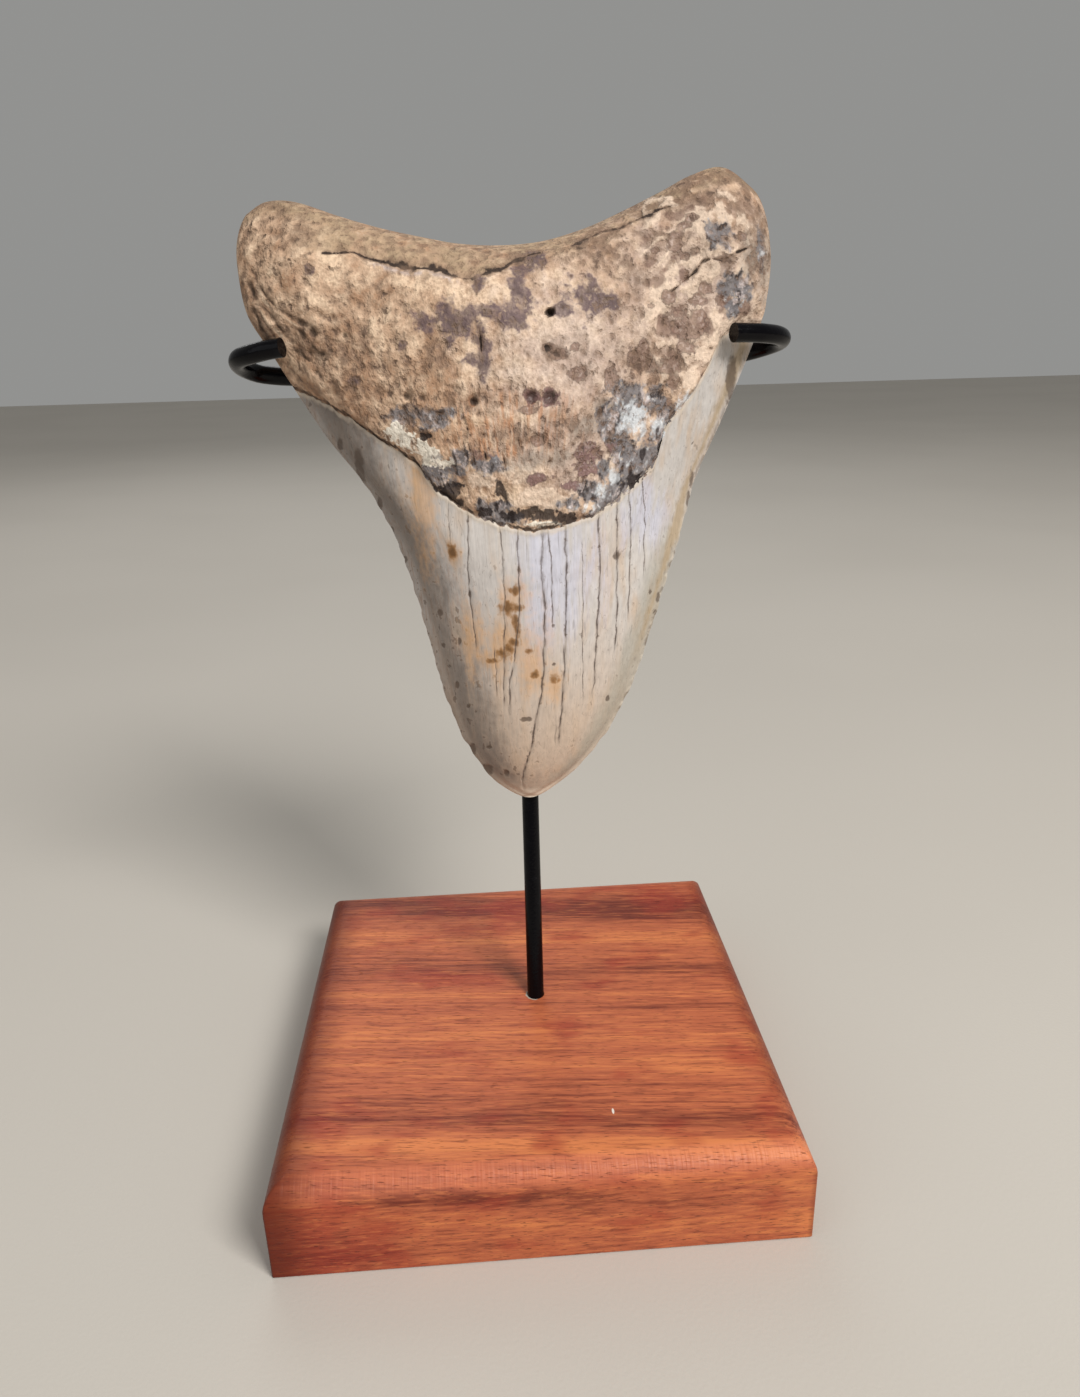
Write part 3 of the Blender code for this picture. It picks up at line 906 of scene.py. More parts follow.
def curve_point(corners: Sequence[Any], share: Any) -> Any:
    """Point between the second and third of four corners on a Catmull-Rom curve.

    Args:
        corners: Four points, or arrays of points.
        share: How far along, from 0 to 1.

    Returns:
        The point.
    """
    p0, p1, p2, p3 = corners
    straight = (p2 - p0) * share
    bend = (2 * p0 - 5 * p1 + 4 * p2 - p3) * share ** 2
    twist = (3 * p1 - p0 - 3 * p2 + p3) * share ** 3
    return p1 + 0.5 * (straight + bend + twist)


def smooth_path(points: Sequence[Size3], steps: int) -> np.ndarray:
    """Points along a Catmull-Rom curve.

    Args:
        points: Points that the curve goes through.
        steps: Parts that each span is cut into.

    Returns:
        Points of the curve, a row each.
    """
    given = np.array(points, dtype=float)
    padded = np.vstack([2 * given[0] - given[1], given, 2 * given[-1] - given[-2]])
    path = [
        curve_point(padded[index:index + 4], step / steps)
        for index in range(len(given) - 1)
        for step in range(steps)
    ]
    return np.array([*path, given[-1]])


def tube(path: np.ndarray, radii: Sequence[float], sides: int) -> tuple[list[Any], list[Any]]:
    """Round tube along a path, closed at both ends.

    Args:
        path: Centre points, a row each.
        radii: Radius at each point.
        sides: Sides of the tube.

    Returns:
        Vertices and faces.
    """
    tangents = np.gradient(path, axis=0)
    tangents /= np.linalg.norm(tangents, axis=1)[:, None]
    level = np.cross(tangents[0], (0.0, 0.0, 1.0))
    nearly_upright = 0.01
    if np.linalg.norm(level) < nearly_upright:
        level = np.array((1.0, 0.0, 0.0))
    vertices: list[Any] = [path[0]]
    angles = np.linspace(0.0, math.tau, sides, endpoint=False)
    for centre, tangent, radius in zip(path, tangents, radii):
        level = level - tangent * np.dot(level, tangent)
        level /= np.linalg.norm(level)
        rise = np.cross(tangent, level)
        ring = centre + radius * (np.outer(np.cos(angles), level) + np.outer(np.sin(angles), rise))
        vertices.extend(ring)
    last = len(vertices)
    vertices.append(path[-1])
    faces: list[Any] = []
    for side in range(sides):
        after = (side + 1) % sides
        faces.append((0, 1 + after, 1 + side))
        for ring_number in range(len(path) - 1):
            low, high = 1 + ring_number * sides, 1 + (ring_number + 1) * sides
            faces.append((low + side, low + after, high + after, high + side))
        faces.append((last, last - sides + side, last - sides + after))
    return vertices, faces


# Stand


@dataclass
class WoodBase:
    """Square block with a quarter-round on its four top edges and a hole for the post."""

    half_size: float = 50.0
    height: float = 20.0
    edge_radius: float = 5.0
    foot_chamfer: float = 0.3
    corner_step: float = 0.3
    corner_pull: float = 0.12
    cells: int = 120
    wall_levels: int = 12
    round_steps: int = 14
    hole_radius: float = 1.95
    hole_depth: float = 12.2
    hole_window: int = 5
    # Width of the rings round the post's hole, then bulge, side and spread of the pale ring at its foot.
    foot_ring_width: float = 0.55
    foot_ring_bulge: Size3 = (1.0, 0.1, 0.45)
    foot_ring_bearing: float = math.radians(215.0)
    foot_ring_turn: Pair = (0.1, 0.5)
    skin: float = 0.1
    post_foot: Pair = (1.8, 1.6)
    post_lean: float = math.radians(15.0)
    bands: tuple[Size3, ...] = (
        (38.0, 7.0, 1.2), (24.0, 4.5, -0.7), (18.5, 1.3, 0.35), (10.0, 3.4, 0.85),
        (1.5, 1.2, -0.6), (-3.0, 1.8, 0.45), (-12.0, 5.0, -0.55), (-18.0, 1.0, 0.4),
        (-22.0, 3.0, -0.35), (-27.5, 1.4, 0.2), (-31.6, 2.0, 0.25), (-37.0, 2.9, 0.95),
        (-43.6, 2.6, -1.4), (-48.5, 1.2, 0.4), (-55.5, 2.0, 0.3), (-61.0, 1.8, -0.6),
        (-66.5, 3.0, 0.2),
    )
    band_waves: Waves = ((1.0, 7.0, 2.6),)
    band_stretch: float = 5.0
    band_slope: float = 0.09
    rounding_start: float = 1.5
    rounding_foot: Pair = (4.5, -3.0)
    end_depth: float = 0.4
    # Where the painted shade on the flanks lies: left side, right edge, back, and how far down on the
    # right.
    flank_shade_left: Pair = (-39.0, -10.0)
    flank_shade_left_share: float = 1.15
    flank_shade_right: Pair = (43.5, 6.5)
    flank_shade_back: Pair = (-44.0, 16.0)
    flank_shade_drop: float = 8.0
    blush_left: Size3 = (1.4, -46.0, 16.0)
    blush_back: Size3 = (0.5, 42.0, 10.0)
    blush_drop: float = 4.0
    sharp_angle: float = 28.0
    stains: tuple[tuple[float, float, float, float, float], ...] = (
        (-42.0, -69.0, 16.0, 4.0, 1.0), (14.0, -61.0, 5.0, 0.6, 1.1),
        (-13.0, -56.0, 26.0, 2.8, 0.95), (28.0, 36.0, 20.0, 8.0, 0.45),
        (34.0, -21.0, 14.0, 7.0, -0.35), (-2.0, -33.0, 14.0, 3.0, 0.3),
        (-18.0, 11.0, 10.0, 2.6, 0.4), (-32.0, 17.0, 12.0, 3.0, 0.5),
        (36.0, -10.0, 14.0, 3.0, 0.4), (-40.0, -52.5, 14.0, 2.5, 0.6),
        (47.0, -58.0, 9.0, 12.0, -0.9),
    )

    def side_places(self, half: float) -> np.ndarray:
        """Places along one side of a square, with an extra one close to each corner."""
        inner = np.linspace(-half + self.corner_step, half - self.corner_step, self.cells - 1)
        return np.concatenate([[-half], inner, [half]])

    def levels(self) -> list[tuple[float, float, float]]:
        """Inset, height and share of the round-over of each ring of the block."""
        rings = [(self.foot_chamfer, 0.0, 0.0)]
        top = self.height - self.edge_radius
        for level in range(self.wall_levels + 1):
            rings.append((0.0, between(self.foot_chamfer, top, level / self.wall_levels), 0.0))
        for step in range(1, self.round_steps + 1):
            angle = math.pi / 2 * step / self.round_steps
            inset = self.edge_radius * (1 - math.cos(angle))
            drop = self.edge_radius * (1 - math.sin(angle))
            rings.append((inset, self.height - drop, math.sin(2 * angle)))
        return rings

    def ring(self, half: float, height: float) -> list[Size3]:
        """Points of one square ring, anticlockwise from the left front corner."""
        places = self.side_places(half)
        pulled = half - self.corner_pull
        points: list[Size3] = []
        for cos, sin in ((1, 0), (0, 1), (-1, 0), (0, -1)):
            for number, place in enumerate(places[:-1]):
                x, y = (-pulled, -pulled) if number == 0 else (place, -half)
                points.append((x * cos - y * sin, x * sin + y * cos, height))
        return points

    def hole_ring(self, angles: np.ndarray, radius: float, height: float) -> list[Size3]:
        """Points where a rod round the post's leaning axis meets one height."""
        rise = height - self.height
        centre = (self.post_foot[0], self.post_foot[1] + rise * math.tan(self.post_lean))
        long_radius = radius / math.cos(self.post_lean)
        return [
            (centre[0] + radius * math.cos(a), centre[1] + long_radius * math.sin(a), height)
            for a in angles
        ]

    def block(self) -> tuple[list[Size3], list[Any]]:
        """Vertices and faces of the block.

        Returns:
            Vertices in millimetres and faces.
        """
        rings = self.levels()
        around = 4 * self.cells
        vertices: list[Size3] = []
        for inset, height, _ in rings:
            vertices.extend(self.ring(self.half_size - inset, height))
        faces: list[Any] = [tuple(range(around - 1, -1, -1))]
        for level in range(len(rings) - 1):
            low, high = level * around, (level + 1) * around
            for step in range(around):
                after = (step + 1) % around
                faces.append((low + step, low + after, high + after, high + step))
        self.close_top(vertices, faces, (len(rings) - 1) * around)
        return vertices, faces

    def close_top(self, vertices: list[Size3], faces: list[Any], first: int) -> None:
        """Fill the top with a grid that leaves the post's hole open.

        Args:
            vertices: Vertices so far, which the grid's are added to.
            faces: Faces so far, which the grid's are added to.
            first: Number of the top ring's first vertex.
        """
        cells = self.cells
        places = self.side_places(self.half_size - self.edge_radius)
        number = np.zeros((cells + 1, cells + 1), dtype=int)
        number[0, :-1] = first + np.arange(cells)
        number[:-1, -1] = first + cells + np.arange(cells)
        number[-1, :0:-1] = first + 2 * cells + np.arange(cells)
        number[:0:-1, 0] = first + 3 * cells + np.arange(cells)
        for row in range(1, cells):
            for column in range(1, cells):
                number[row, column] = len(vertices)
                vertices.append((places[column], places[row], self.height))
        middle = [int(np.argmin(abs(places - foot))) for foot in self.post_foot]
        left, right = middle[0] - self.hole_window, middle[0] + self.hole_window
        front, back = middle[1] - self.hole_window, middle[1] + self.hole_window
        for row in range(cells):
            for column in range(cells):
                if front <= row < back and left <= column < right:
                    continue
                faces.append((
                    number[row, column], number[row, column + 1],
                    number[row + 1, column + 1], number[row + 1, column],
                ))
        window = [number[front, column] for column in range(left, right)]
        window += [number[row, right] for row in range(front, back)]
        window += [number[back, column] for column in range(right, left, -1)]
        window += [number[row, left] for row in range(back, front, -1)]
        self.drill(vertices, faces, window)

    def drill(self, vertices: list[Size3], faces: list[Any], window: list[int]) -> None:
        """Join the window in the top to the post's hole.

        Args:
            vertices: Vertices so far, which the hole's are added to.
            faces: Faces so far, which the hole's are added to.
            window: Vertex numbers round the window, anticlockwise.
        """
        angles = np.array([
            math.atan2(vertices[w][1] - self.post_foot[1], vertices[w][0] - self.post_foot[0])
            for w in window
        ])
        outer = window
        floor = self.height - self.hole_depth
        for radius, height in (
            (self.hole_radius + 2 * self.foot_ring_width, self.height),
            (self.hole_radius + self.foot_ring_width, self.height),
            (self.hole_radius, self.height), (self.hole_radius, floor),
        ):
            start = len(vertices)
            vertices.extend(self.hole_ring(angles, radius, height))
            inner = list(range(start, start + len(window)))
            for step in range(len(window)):
                after = (step + 1) % len(window)
                faces.append((outer[step], outer[after], inner[after], inner[step]))
            outer = inner
        faces.append(tuple(outer))

    def fields(self, places: np.ndarray) -> dict[str, np.ndarray]:
        """Numbers for the wood's shader.

        Args:
            places: Vertices in millimetres, a row each.

        Returns:
            Growth bands, round-over, end grain, painted shade on the flanks, red tone and the pale ring
            round the post, by name.
        """
        x, y, z = places.T
        inner = self.half_size - self.edge_radius
        drop = self.height - z
        run = np.where(y < -inner, y - drop, np.where(y > inner, y + drop, y))
        run = run + self.band_slope * x
        moved = run + waves(x / self.band_stretch, run, self.band_waves)
        figure = np.zeros(len(x))
        for centre, reach, strength in self.bands:
            figure += strength * hump(moved - centre, reach)
        for across, along, wide, high, strength in self.stains:
            figure += strength * hump(x - across, wide) * hump(moved - along, high)
        off_x, off_y = x - self.post_foot[0], y - self.post_foot[1]
        from_hole = np.hypot(off_x, off_y * math.cos(self.post_lean)) - self.hole_radius
        turned = ramp(np.cos(np.arctan2(off_y, off_x) - self.foot_ring_bearing), *self.foot_ring_turn)
        right_side = ramp(x, *self.flank_shade_right) * ramp(y, *self.flank_shade_back)
        return {
            "figure": figure,
            # Round-over band that carries the painted highlight and the chatter marks.
            "rounding": ramp(abs(y), inner, self.rounding_start) * ramp(drop, *self.rounding_foot),
            "end_grain": (abs(x) > self.half_size - self.end_depth).astype(float),
            # Painted shade on the block's left side and along its right back edge.
            "painted_flank_shade": self.flank_shade_left_share * ramp(x, *self.flank_shade_left)
            + right_side * (drop < self.flank_shade_drop),
            "blush": bulge(x, *self.blush_left) * (drop > self.blush_drop)
            + bulge(y, *self.blush_back),
            "pale_foot_ring": bulge(from_hole, *self.foot_ring_bulge) * turned * (drop < self.skin),
        }

    def build(self, finish: OiledHardwood) -> list[bpy.types.Object]:
        """Build the base.

        Args:
            finish: Finish of the wood.

        Returns:
            The pieces made.
        """
        vertices, faces = self.block()
        places = np.array(vertices)
        fields = self.fields(places)
        mesh = make_mesh("wood_base", places * MM, faces, fields, self.sharp_angle)
        pose = Matrix.Identity(4)
        return [place_piece("wood_base", mesh, finish.material(), pose, "base")]


@dataclass
class WireStand:
    """Leaning post with a wire cradle welded across it, all of one black rod."""

    foot: Size3 = (0.0018, 0.0016, 0.020)
    lean_back: float = math.radians(15.0)
    lean_side: float = math.radians(0.85)
    rod_radius: float = 1.85
    end_round: float = 0.9
    clear_of_rim: float = 1.3
    post_low: float = -11.9
    post_high: float = 140.5
    post_rings: int = 48
    sides: int = 40
    wire_steps: int = 9
    wire_sides: int = 32
    round_rings: int = 5
    cradle_points: tuple[Size3, ...] = (
        (-44.0, 138.4, 20.3), (-47.5, 138.2, 19.2), (-50.8, 138.0, 17.3), (-53.3, 138.0, 14.7),
        (-54.4, 137.9, 11.4), (-54.0, 137.7, 8.0), (-52.0, 137.3, 5.2), (-49.0, 137.0, 4.1),
        (-45.0, 136.7, 4.0), (-35.0, 136.2, 4.0), (-20.0, 135.7, 4.0), (2.0, 135.4, 4.0),
        (20.0, 135.8, 4.0), (36.0, 137.1, 4.0), (46.0, 138.4, 4.0), (50.7, 139.1, 4.6),
        (54.1, 139.6, 6.6), (55.7, 139.7, 9.6), (55.4, 139.6, 13.0), (53.4, 139.4, 16.0),
        (50.2, 139.2, 18.2), (47.2, 139.1, 19.3), (43.6, 138.9, 20.4),
    )
    weld_place: Size3 = (2.0, -2.0, 135.4)
    weld_size: Size3 = (2.6, 1.35, 2.7)
    weld_rings: int = 24
    weld_bluntness: float = 4.0
    weld_lumps: Waves = ((0.12, 1.0, 5.5),)
    weld_grain: float = 3.0
    sharp_angle: float = 60.0

    def stand_pose(self) -> Matrix:
        """Frame of the leaning stand."""
        return Matrix.Translation(self.foot) @ Matrix.Rotation(-self.lean_back, 4, "X")

    def rounded(self, path: np.ndarray) -> tuple[np.ndarray, list[float]]:
        """Add rings that round off both rims of a rod.

        Args:
            path: Centre points of the rod, a row each.

        Returns:
            Centre points with those of the rims, and the radius at each.
        """
        angles = np.linspace(0.0, math.pi / 2, self.round_rings + 1)
        back = self.end_round * (1 - np.sin(angles))
        radii = self.rod_radius - self.end_round * (1 - np.cos(angles[::-1]))
        shares = np.concatenate([[0.0], np.cumsum(np.linalg.norm(np.diff(path, axis=0), axis=1))])
        length = shares[-1]
        clear = self.end_round * self.clear_of_rim
        kept = (shares > clear) & (shares < length - clear)
        start = self.end_round - back[::-1]
        runs = np.concatenate([start, shares[kept], length - start[::-1]])
        points = np.stack([np.interp(runs, shares, path[:, axis]) for axis in range(3)], axis=1)
        body = [self.rod_radius] * int(kept.sum())
        return points, [*radii, *body, *radii[::-1]]

    def post_mesh(self) -> bpy.types.Mesh:
        """Mesh of the straight rod, along Z in the post's frame."""
        heights = np.linspace(self.post_low, self.post_high, self.post_rings)
        path = np.stack([np.zeros_like(heights), np.zeros_like(heights), heights], axis=1)
        points, radii = self.rounded(path)
        vertices, faces = tube(points, radii, self.sides)
        return make_mesh("post_rod", np.array(vertices) * MM, faces, NOTHING, self.sharp_angle)

    def cradle_mesh(self) -> bpy.types.Mesh:
        """Mesh of the bent wire, in the stand's frame."""
        path = smooth_path(self.cradle_points, self.wire_steps)
        path = np.stack([path[:, 0], -path[:, 2], path[:, 1]], axis=1)
        points, radii = self.rounded(path)
        vertices, faces = tube(points, radii, self.wire_sides)
        return make_mesh("cradle_wire", np.array(vertices) * MM, faces, NOTHING, self.sharp_angle)

    def weld_mesh(self) -> bpy.types.Mesh:
        """Mesh of the lumpy bead that joins the wire to the post."""
        shares = np.linspace(-1.0, 1.0, self.weld_rings)
        nearly_one, least = 0.999, 0.0004
        path = np.stack([shares * nearly_one, shares * 0, shares * 0], axis=1)
        radii = np.sqrt(np.clip(1.0 - shares ** self.weld_bluntness, least, 1.0))
        vertices, faces = tube(path, radii, self.wire_sides)
        x, y, z = np.array(vertices).T
        swell = 1.0 + waves(x * self.weld_grain, z * self.weld_grain + y, self.weld_lumps)
        places = np.array(vertices) * swell[:, None] * np.array(self.weld_size)
        places = (places + np.array(self.weld_place)) * MM
        return make_mesh("weld_bead", places, faces, NOTHING, self.sharp_angle)

    def build(self, finish: BlackPaint) -> list[bpy.types.Object]:
        """Build the stand.

        Args:
            finish: Finish of all its pieces.

        Returns:
            The pieces made.
        """
        material = finish.material()
        stand = self.stand_pose()
        post = stand @ Matrix.Rotation(self.lean_side, 4, "Y")
        return [
            place_piece("post_rod", self.post_mesh(), material, post, "post"),
            place_piece("cradle_wire", self.cradle_mesh(), material, stand, "cradle"),
            place_piece("weld_bead", self.weld_mesh(), material, stand),
        ]


# Tooth


class Patch(NamedTuple):
    """Rounded patch in millimetres: its middle across and up, and its half sizes."""

    across: float
    up: float
    wide: float
    high: float


class Pit(NamedTuple):
    """Round pit in millimetres."""

    across: float
    up: float
    radius: float
    depth: float


class Crack(NamedTuple):
    """Crack in the enamel: half width, and points across and up from its top down."""

    half_width: float
    points: tuple[Pair, ...]


SUNK_DEPTHS = {
    Mark.BROWN: 0.28, Mark.SLATE: 0.25, Mark.BLACK: 0.45, Mark.PURPLE: 0.06,
    Mark.WHITE: -0.22, Mark.CREAM: -0.12, Mark.GREY_WHITE: 0.1, Mark.FROST: -0.1,
}
Marks = dict[Mark, tuple[tuple[float, float, float, float], ...]]

FRONT_MARKS: Marks = {
    Mark.PURPLE: (
        (-12.1, 96.9, 6.0, 3.1), (-38.2, 107.6, 1.0, 1.0), (-6.6, 93.6, 1.6, 3.2), (-6.2, 91.0, 1.8, 3.4),
        (1.6, 105.9, 1.8, 2.3), (0.6, 97.3, 4.0, 2.9), (-1.9, 96.6, 2.0, 1.6),
        (14.2, 100.6, 4.3, 3.8), (18.1, 100.5, 2.5, 1.9), (-6.5, 103.6, 1.0, 2.1),
        (-7.1, 71.9, 2.4, 1.2), (-21.3, 93.0, 1.0, 0.8), (-30.9, 87.3, 1.2, 0.8),
        (-8.7, 89.7, 1.8, 1.2), (-4.5, 98.3, 3.2, 1.7), (1.3, 101.6, 2.2, 4.0),
        (8.8, 98.8, 2.8, 1.6), (4.0, 108.0, 2.6, 1.6),
    ),
    Mark.BROWN: (
        (32.0, 111.3, 1.9, 1.7), (33.1, 108.4, 1.1, 0.9), (33.8, 95.6, 4.0, 2.1),
        (35.7, 97.5, 1.7, 1.5), (23.7, 88.9, 2.4, 2.5), (24.8, 91.1, 1.2, 1.7),
        (18.0, 85.5, 1.2, 2.3), (30.2, 88.0, 2.5, 1.7), (30.8, 85.4, 1.4, 1.3),
        (28.7, 80.9, 1.8, 1.5), (33.6, 92.0, 2.3, 0.9), (29.8, 100.9, 1.9, 1.1),
        (11.9, 86.6, 1.8, 1.2), (8.0, 90.1, 1.8, 1.0), (6.0, 91.4, 1.0, 0.8),
        (11.6, 91.6, 0.8, 0.8),
        (34.9, 115.4, 0.9, 0.7), (33.1, 114.0, 1.5, 0.7), (41.5, 100.6, 1.5, 1.1),
        (27.5, 109.5, 0.8, 0.6), (30.1, 113.7, 0.6, 0.7), (26.3, 99.3, 0.8, 0.8),
        (3.1, 74.7, 1.4, 1.0), (1.8, 80.1, 1.6, 0.8), (36.3, 100.4, 1.7, 1.1),
        (44.9, 112.3, 1.1, 0.9), (32.4, 98.0, 1.8, 1.1), (37.4, 102.6, 1.2, 1.1),
    ),
    Mark.MAROON: (
        (13.3, 72.2, 2.8, 2.4), (12.7, 69.3, 2.4, 1.8), (10.1, 66.0, 2.2, 1.0),
        (3.1, 67.5, 2.4, 1.2), (18.4, 73.5, 2.0, 1.8), (2.6, 82.6, 1.45, 1.45),
        (6.0, 82.4, 1.7, 1.7),
    ),
    Mark.SLATE: (
        (-6.5, 70.4, 2.4, 1.1), (13.8, 64.4, 1.8, 1.6), (9.6, 62.6, 1.8, 1.0),
        (-21.4, 80.2, 2.8, 1.4), (-16.2, 79.1, 2.8, 1.8), (-15.1, 69.5, 2.6, 2.4),
        (-11.3, 72.1, 1.2, 1.2), (-5.2, 62.1, 2.4, 1.4), (-3.5, 60.3, 2.8, 1.0),
        (18.5, 77.4, 2.4, 3.3), (21.5, 80.5, 2.4, 2.1), (26.9, 82.6, 2.0, 1.9),
        (26.1, 71.6, 3.7, 2.3), (23.4, 67.3, 3.6, 2.7), (17.6, 63.0, 2.8, 2.2),
        (14.1, 60.1, 1.6, 0.8), (40.3, 112.6, 2.4, 1.8), (44.0, 103.0, 2.4, 1.8),
        (49.3, 110.2, 0.9, 2.9), (43.5, 99.2, 1.3, 1.3), (31.1, 75.1, 0.8, 2.4),
        (16.3, 68.8, 1.0, 1.4), (29.5, 79.0, 1.6, 1.6), (20.5, 65.0, 4.0, 2.4),
        (24.5, 69.5, 4.2, 3.0), (28.6, 74.6, 2.2, 3.0), (20.6, 72.6, 2.2, 2.2),
        (22.5, 83.0, 4.2, 1.6),
    ),
    Mark.BLACK: (
        (-13.6, 65.8, 2.2, 2.0), (-11.9, 63.7, 1.2, 1.0), (-3.7, 65.1, 1.4, 2.2),
        (1.6, 61.2, 3.0, 1.3), (4.5, 60.6, 3.0, 1.0), (22.4, 66.4, 1.6, 1.2),
        (7.6, 60.0, 2.2, 1.0), (27.5, 82.8, 1.6, 0.9),
        (28.6, 73.0, 1.4, 1.2), (24.4, 71.6, 0.8, 1.6),
        (9.4, 59.6, 1.4, 1.2), (-17.8, 76.3, 1.4, 0.6), (-2.5, 60.6, 2.2, 1.0),
        (-7.0, 61.6, 2.0, 0.7),
    ),
    Mark.CREAM: (
        (28.4, 101.8, 2.5, 3.4), (27.1, 99.3, 1.7, 2.1), (36.1, 115.2, 2.6, 2.0),
        (38.7, 93.5, 1.9, 1.7), (36.8, 90.7, 2.9, 1.3), (39.7, 96.9, 1.5, 1.7),
        (38.6, 85.9, 1.7, 2.6), (34.2, 85.6, 1.9, 2.1), (30.7, 106.2, 1.5, 1.7),
        (34.3, 107.3, 1.9, 1.1), (41.6, 114.7, 1.7, 1.3), (46.8, 95.7, 1.5, 2.2),
        (0.4, 68.3, 3.5, 1.6), (3.6, 63.5, 5.9, 2.0), (-7.8, 67.7, 2.0, 1.6),
        (17.5, 70.3, 1.0, 2.0), (37.2, 104.9, 2.1, 1.7),
        (38.6, 109.8, 2.1, 1.3), (35.0, 102.2, 2.1, 1.5),
    ),
    Mark.WHITE: (
        (-23.4, 77.4, 2.2, 1.6), (-21.4, 75.8, 1.8, 1.6), (-19.5, 74.5, 2.0, 1.6),
        (-16.7, 72.7, 2.0, 1.6), (-14.4, 71.1, 1.6, 1.2), (4.4, 58.9, 2.8, 0.5),
    ),
    Mark.FROST: (
        (22.4, 78.8, 2.4, 2.2), (23.6, 76.8, 1.6, 1.6), (27.8, 76.8, 1.8, 2.2),
        (20.4, 77.2, 1.4, 1.4), (34.5, 82.4, 2.5, 1.7), (37.0, 80.6, 1.7, 2.2),
        (32.2, 78.2, 1.0, 3.0), (13.3, 61.3, 2.0, 1.0), (15.8, 64.6, 1.2, 1.6),
        (17.9, 67.8, 0.8, 1.6),
    ),
    # The two tall patches at 50.5 and 47 across, on the right lobe's edge, are a painted highlight.
    Mark.GREY_WHITE: (
        (1.8, 70.7, 5.9, 1.6), (6.8, 71.8, 2.7, 1.6), (10.6, 76.4, 1.6, 1.6),
        (13.6, 77.3, 2.0, 1.6), (50.5, 108.0, 1.8, 7.0), (17.0, 80.5, 2.6, 2.0),
        (47.0, 109.0, 2.4, 4.5),
    ),
    Mark.RUST: (
        (-14.0, 54.0, 1.0, 1.6), (-2.0, 46.2, 1.1, 1.1), (-3.4, 42.5, 1.6, 1.3),
        (-1.5, 42.6, 1.1, 0.8), (-1.8, 38.0, 0.65, 2.4), (-2.4, 35.2, 1.1, 1.1),
        (-4.6, 33.0, 1.4, 1.1), (0.5, 33.5, 0.7, 0.6), (1.5, 28.6, 0.7, 0.8),
        (5.5, 27.4, 0.9, 0.9), (-6.9, 31.6, 1.2, 0.5), (-2.0, 40.4, 0.6, 2.0), (-3.4, 34.0, 1.2, 0.7),
    ),
    Mark.RUST_HALO: (
        (-14.0, 54.0, 1.5, 2.0), (-2.0, 44.0, 3.2, 4.4), (-3.0, 35.0, 5.2, 4.6),
        (0.9, 31.0, 2.6, 5.0), (1.3, 28.2, 2.6, 2.8), (5.3, 26.0, 2.4, 3.2), (-10.5, 36.0, 1.8, 7.0),
        (-7.5, 32.0, 3.0, 2.2), (-19.0, 64.0, 2.4, 9.0),
    ),
    Mark.UMBER: (
        (-0.5, 19.0, 1.2, 0.5), (19.0, 52.0, 0.8, 0.9), (-10.9, 45.5, 0.4, 0.8),
        (-17.3, 41.5, 0.6, 0.7), (-13.5, 35.5, 0.4, 0.9), (-17.0, 34.5, 0.5, 0.5),
        (-16.0, 30.0, 0.5, 0.4), (-14.5, 26.0, 0.4, 0.7), (-12.5, 21.5, 0.4, 0.4),
        (-10.9, 20.4, 0.3, 0.3), (-8.5, 12.5, 0.6, 0.4), (-5.0, 6.5, 0.5, 0.8),
        (17.0, 22.0, 0.5, 0.6), (35.5, 74.0, 0.4, 0.4), (28.0, 39.5, 0.6, 0.6),
        (5.5, 30.5, 0.4, 0.4), (5.6, 38.5, 0.35, 0.4), (26.6, 44.0, 0.4, 0.6),
    ),
    Mark.EDGE_STAIN: (
        (-31.8, 71.2, 1.0, 3.6), (-26.6, 58.5, 0.7, 1.0), (-24.2, 52.5, 0.8, 0.8),
        (-12.0, 11.5, 0.9, 1.2), (-8.8, 7.0, 1.1, 1.2), (35.9, 66.6, 0.5, 1.6),
        (35.3, 62.5, 0.5, 2.2), (-35.5, 76.0, 0.6, 1.2), (-28.4, 64.0, 0.6, 1.4),
        (44.0, 86.0, 1.2, 4.6), (28.6, 42.5, 0.6, 1.0),
    ),
    Mark.BLUE_WHITE: (
        (5.5, 51.0, 7.0, 11.0), (2.0, 42.0, 3.0, 8.0), (9.0, 44.0, 2.0, 8.0),
        (25.0, 60.0, 4.0, 6.0),
    ),
    # Dark speckled soil, with painted shade along the root's left lobe, top and right edges and lower
    # left.
    Mark.SOIL_AND_SHADE: (
        (-34.0, 92.0, 16.0, 9.0), (-47.0, 103.0, 7.0, 12.0), (-44.0, 113.0, 9.0, 8.0),
        (27.0, 90.0, 9.0, 10.0), (38.0, 112.0, 7.0, 7.0), (-22.0, 80.0, 9.0, 5.0),
        (-25.0, 86.0, 7.0, 5.0), (-8.0, 82.0, 6.0, 3.0), (14.0, 77.0, 4.0, 3.0),
        (43.0, 121.5, 9.0, 5.0), (50.0, 115.0, 4.0, 8.0), (32.0, 119.0, 9.0, 3.5),
        (19.0, 109.0, 10.0, 3.5), (-44.0, 108.0, 5.0, 4.0), (-40.0, 97.0, 8.0, 4.0),
        (0.0, 76.0, 6.0, 2.5), (-15.0, 90.5, 4.0, 2.5), (-46.0, 95.0, 4.0, 5.0),
        (-38.0, 108.0, 4.0, 3.0), (13.0, 74.0, 8.0, 5.0), (46.0, 116.0, 4.0, 6.0),
        (-25.0, 82.5, 4.0, 3.0), (28.0, 112.0, 4.0, 2.0), (47.5, 108.0, 2.0, 6.0),
        (-23.0, 100.0, 4.5, 3.0), (24.0, 106.0, 4.0, 3.0),
    ),
    Mark.BARE: (
        (-15.0, 103.5, 9.0, 2.0), (-3.0, 102.5, 5.0, 3.0), (9.0, 94.0, 5.0, 3.0),
        (-3.0, 88.5, 7.0, 4.0), (-34.0, 103.5, 5.0, 2.5),
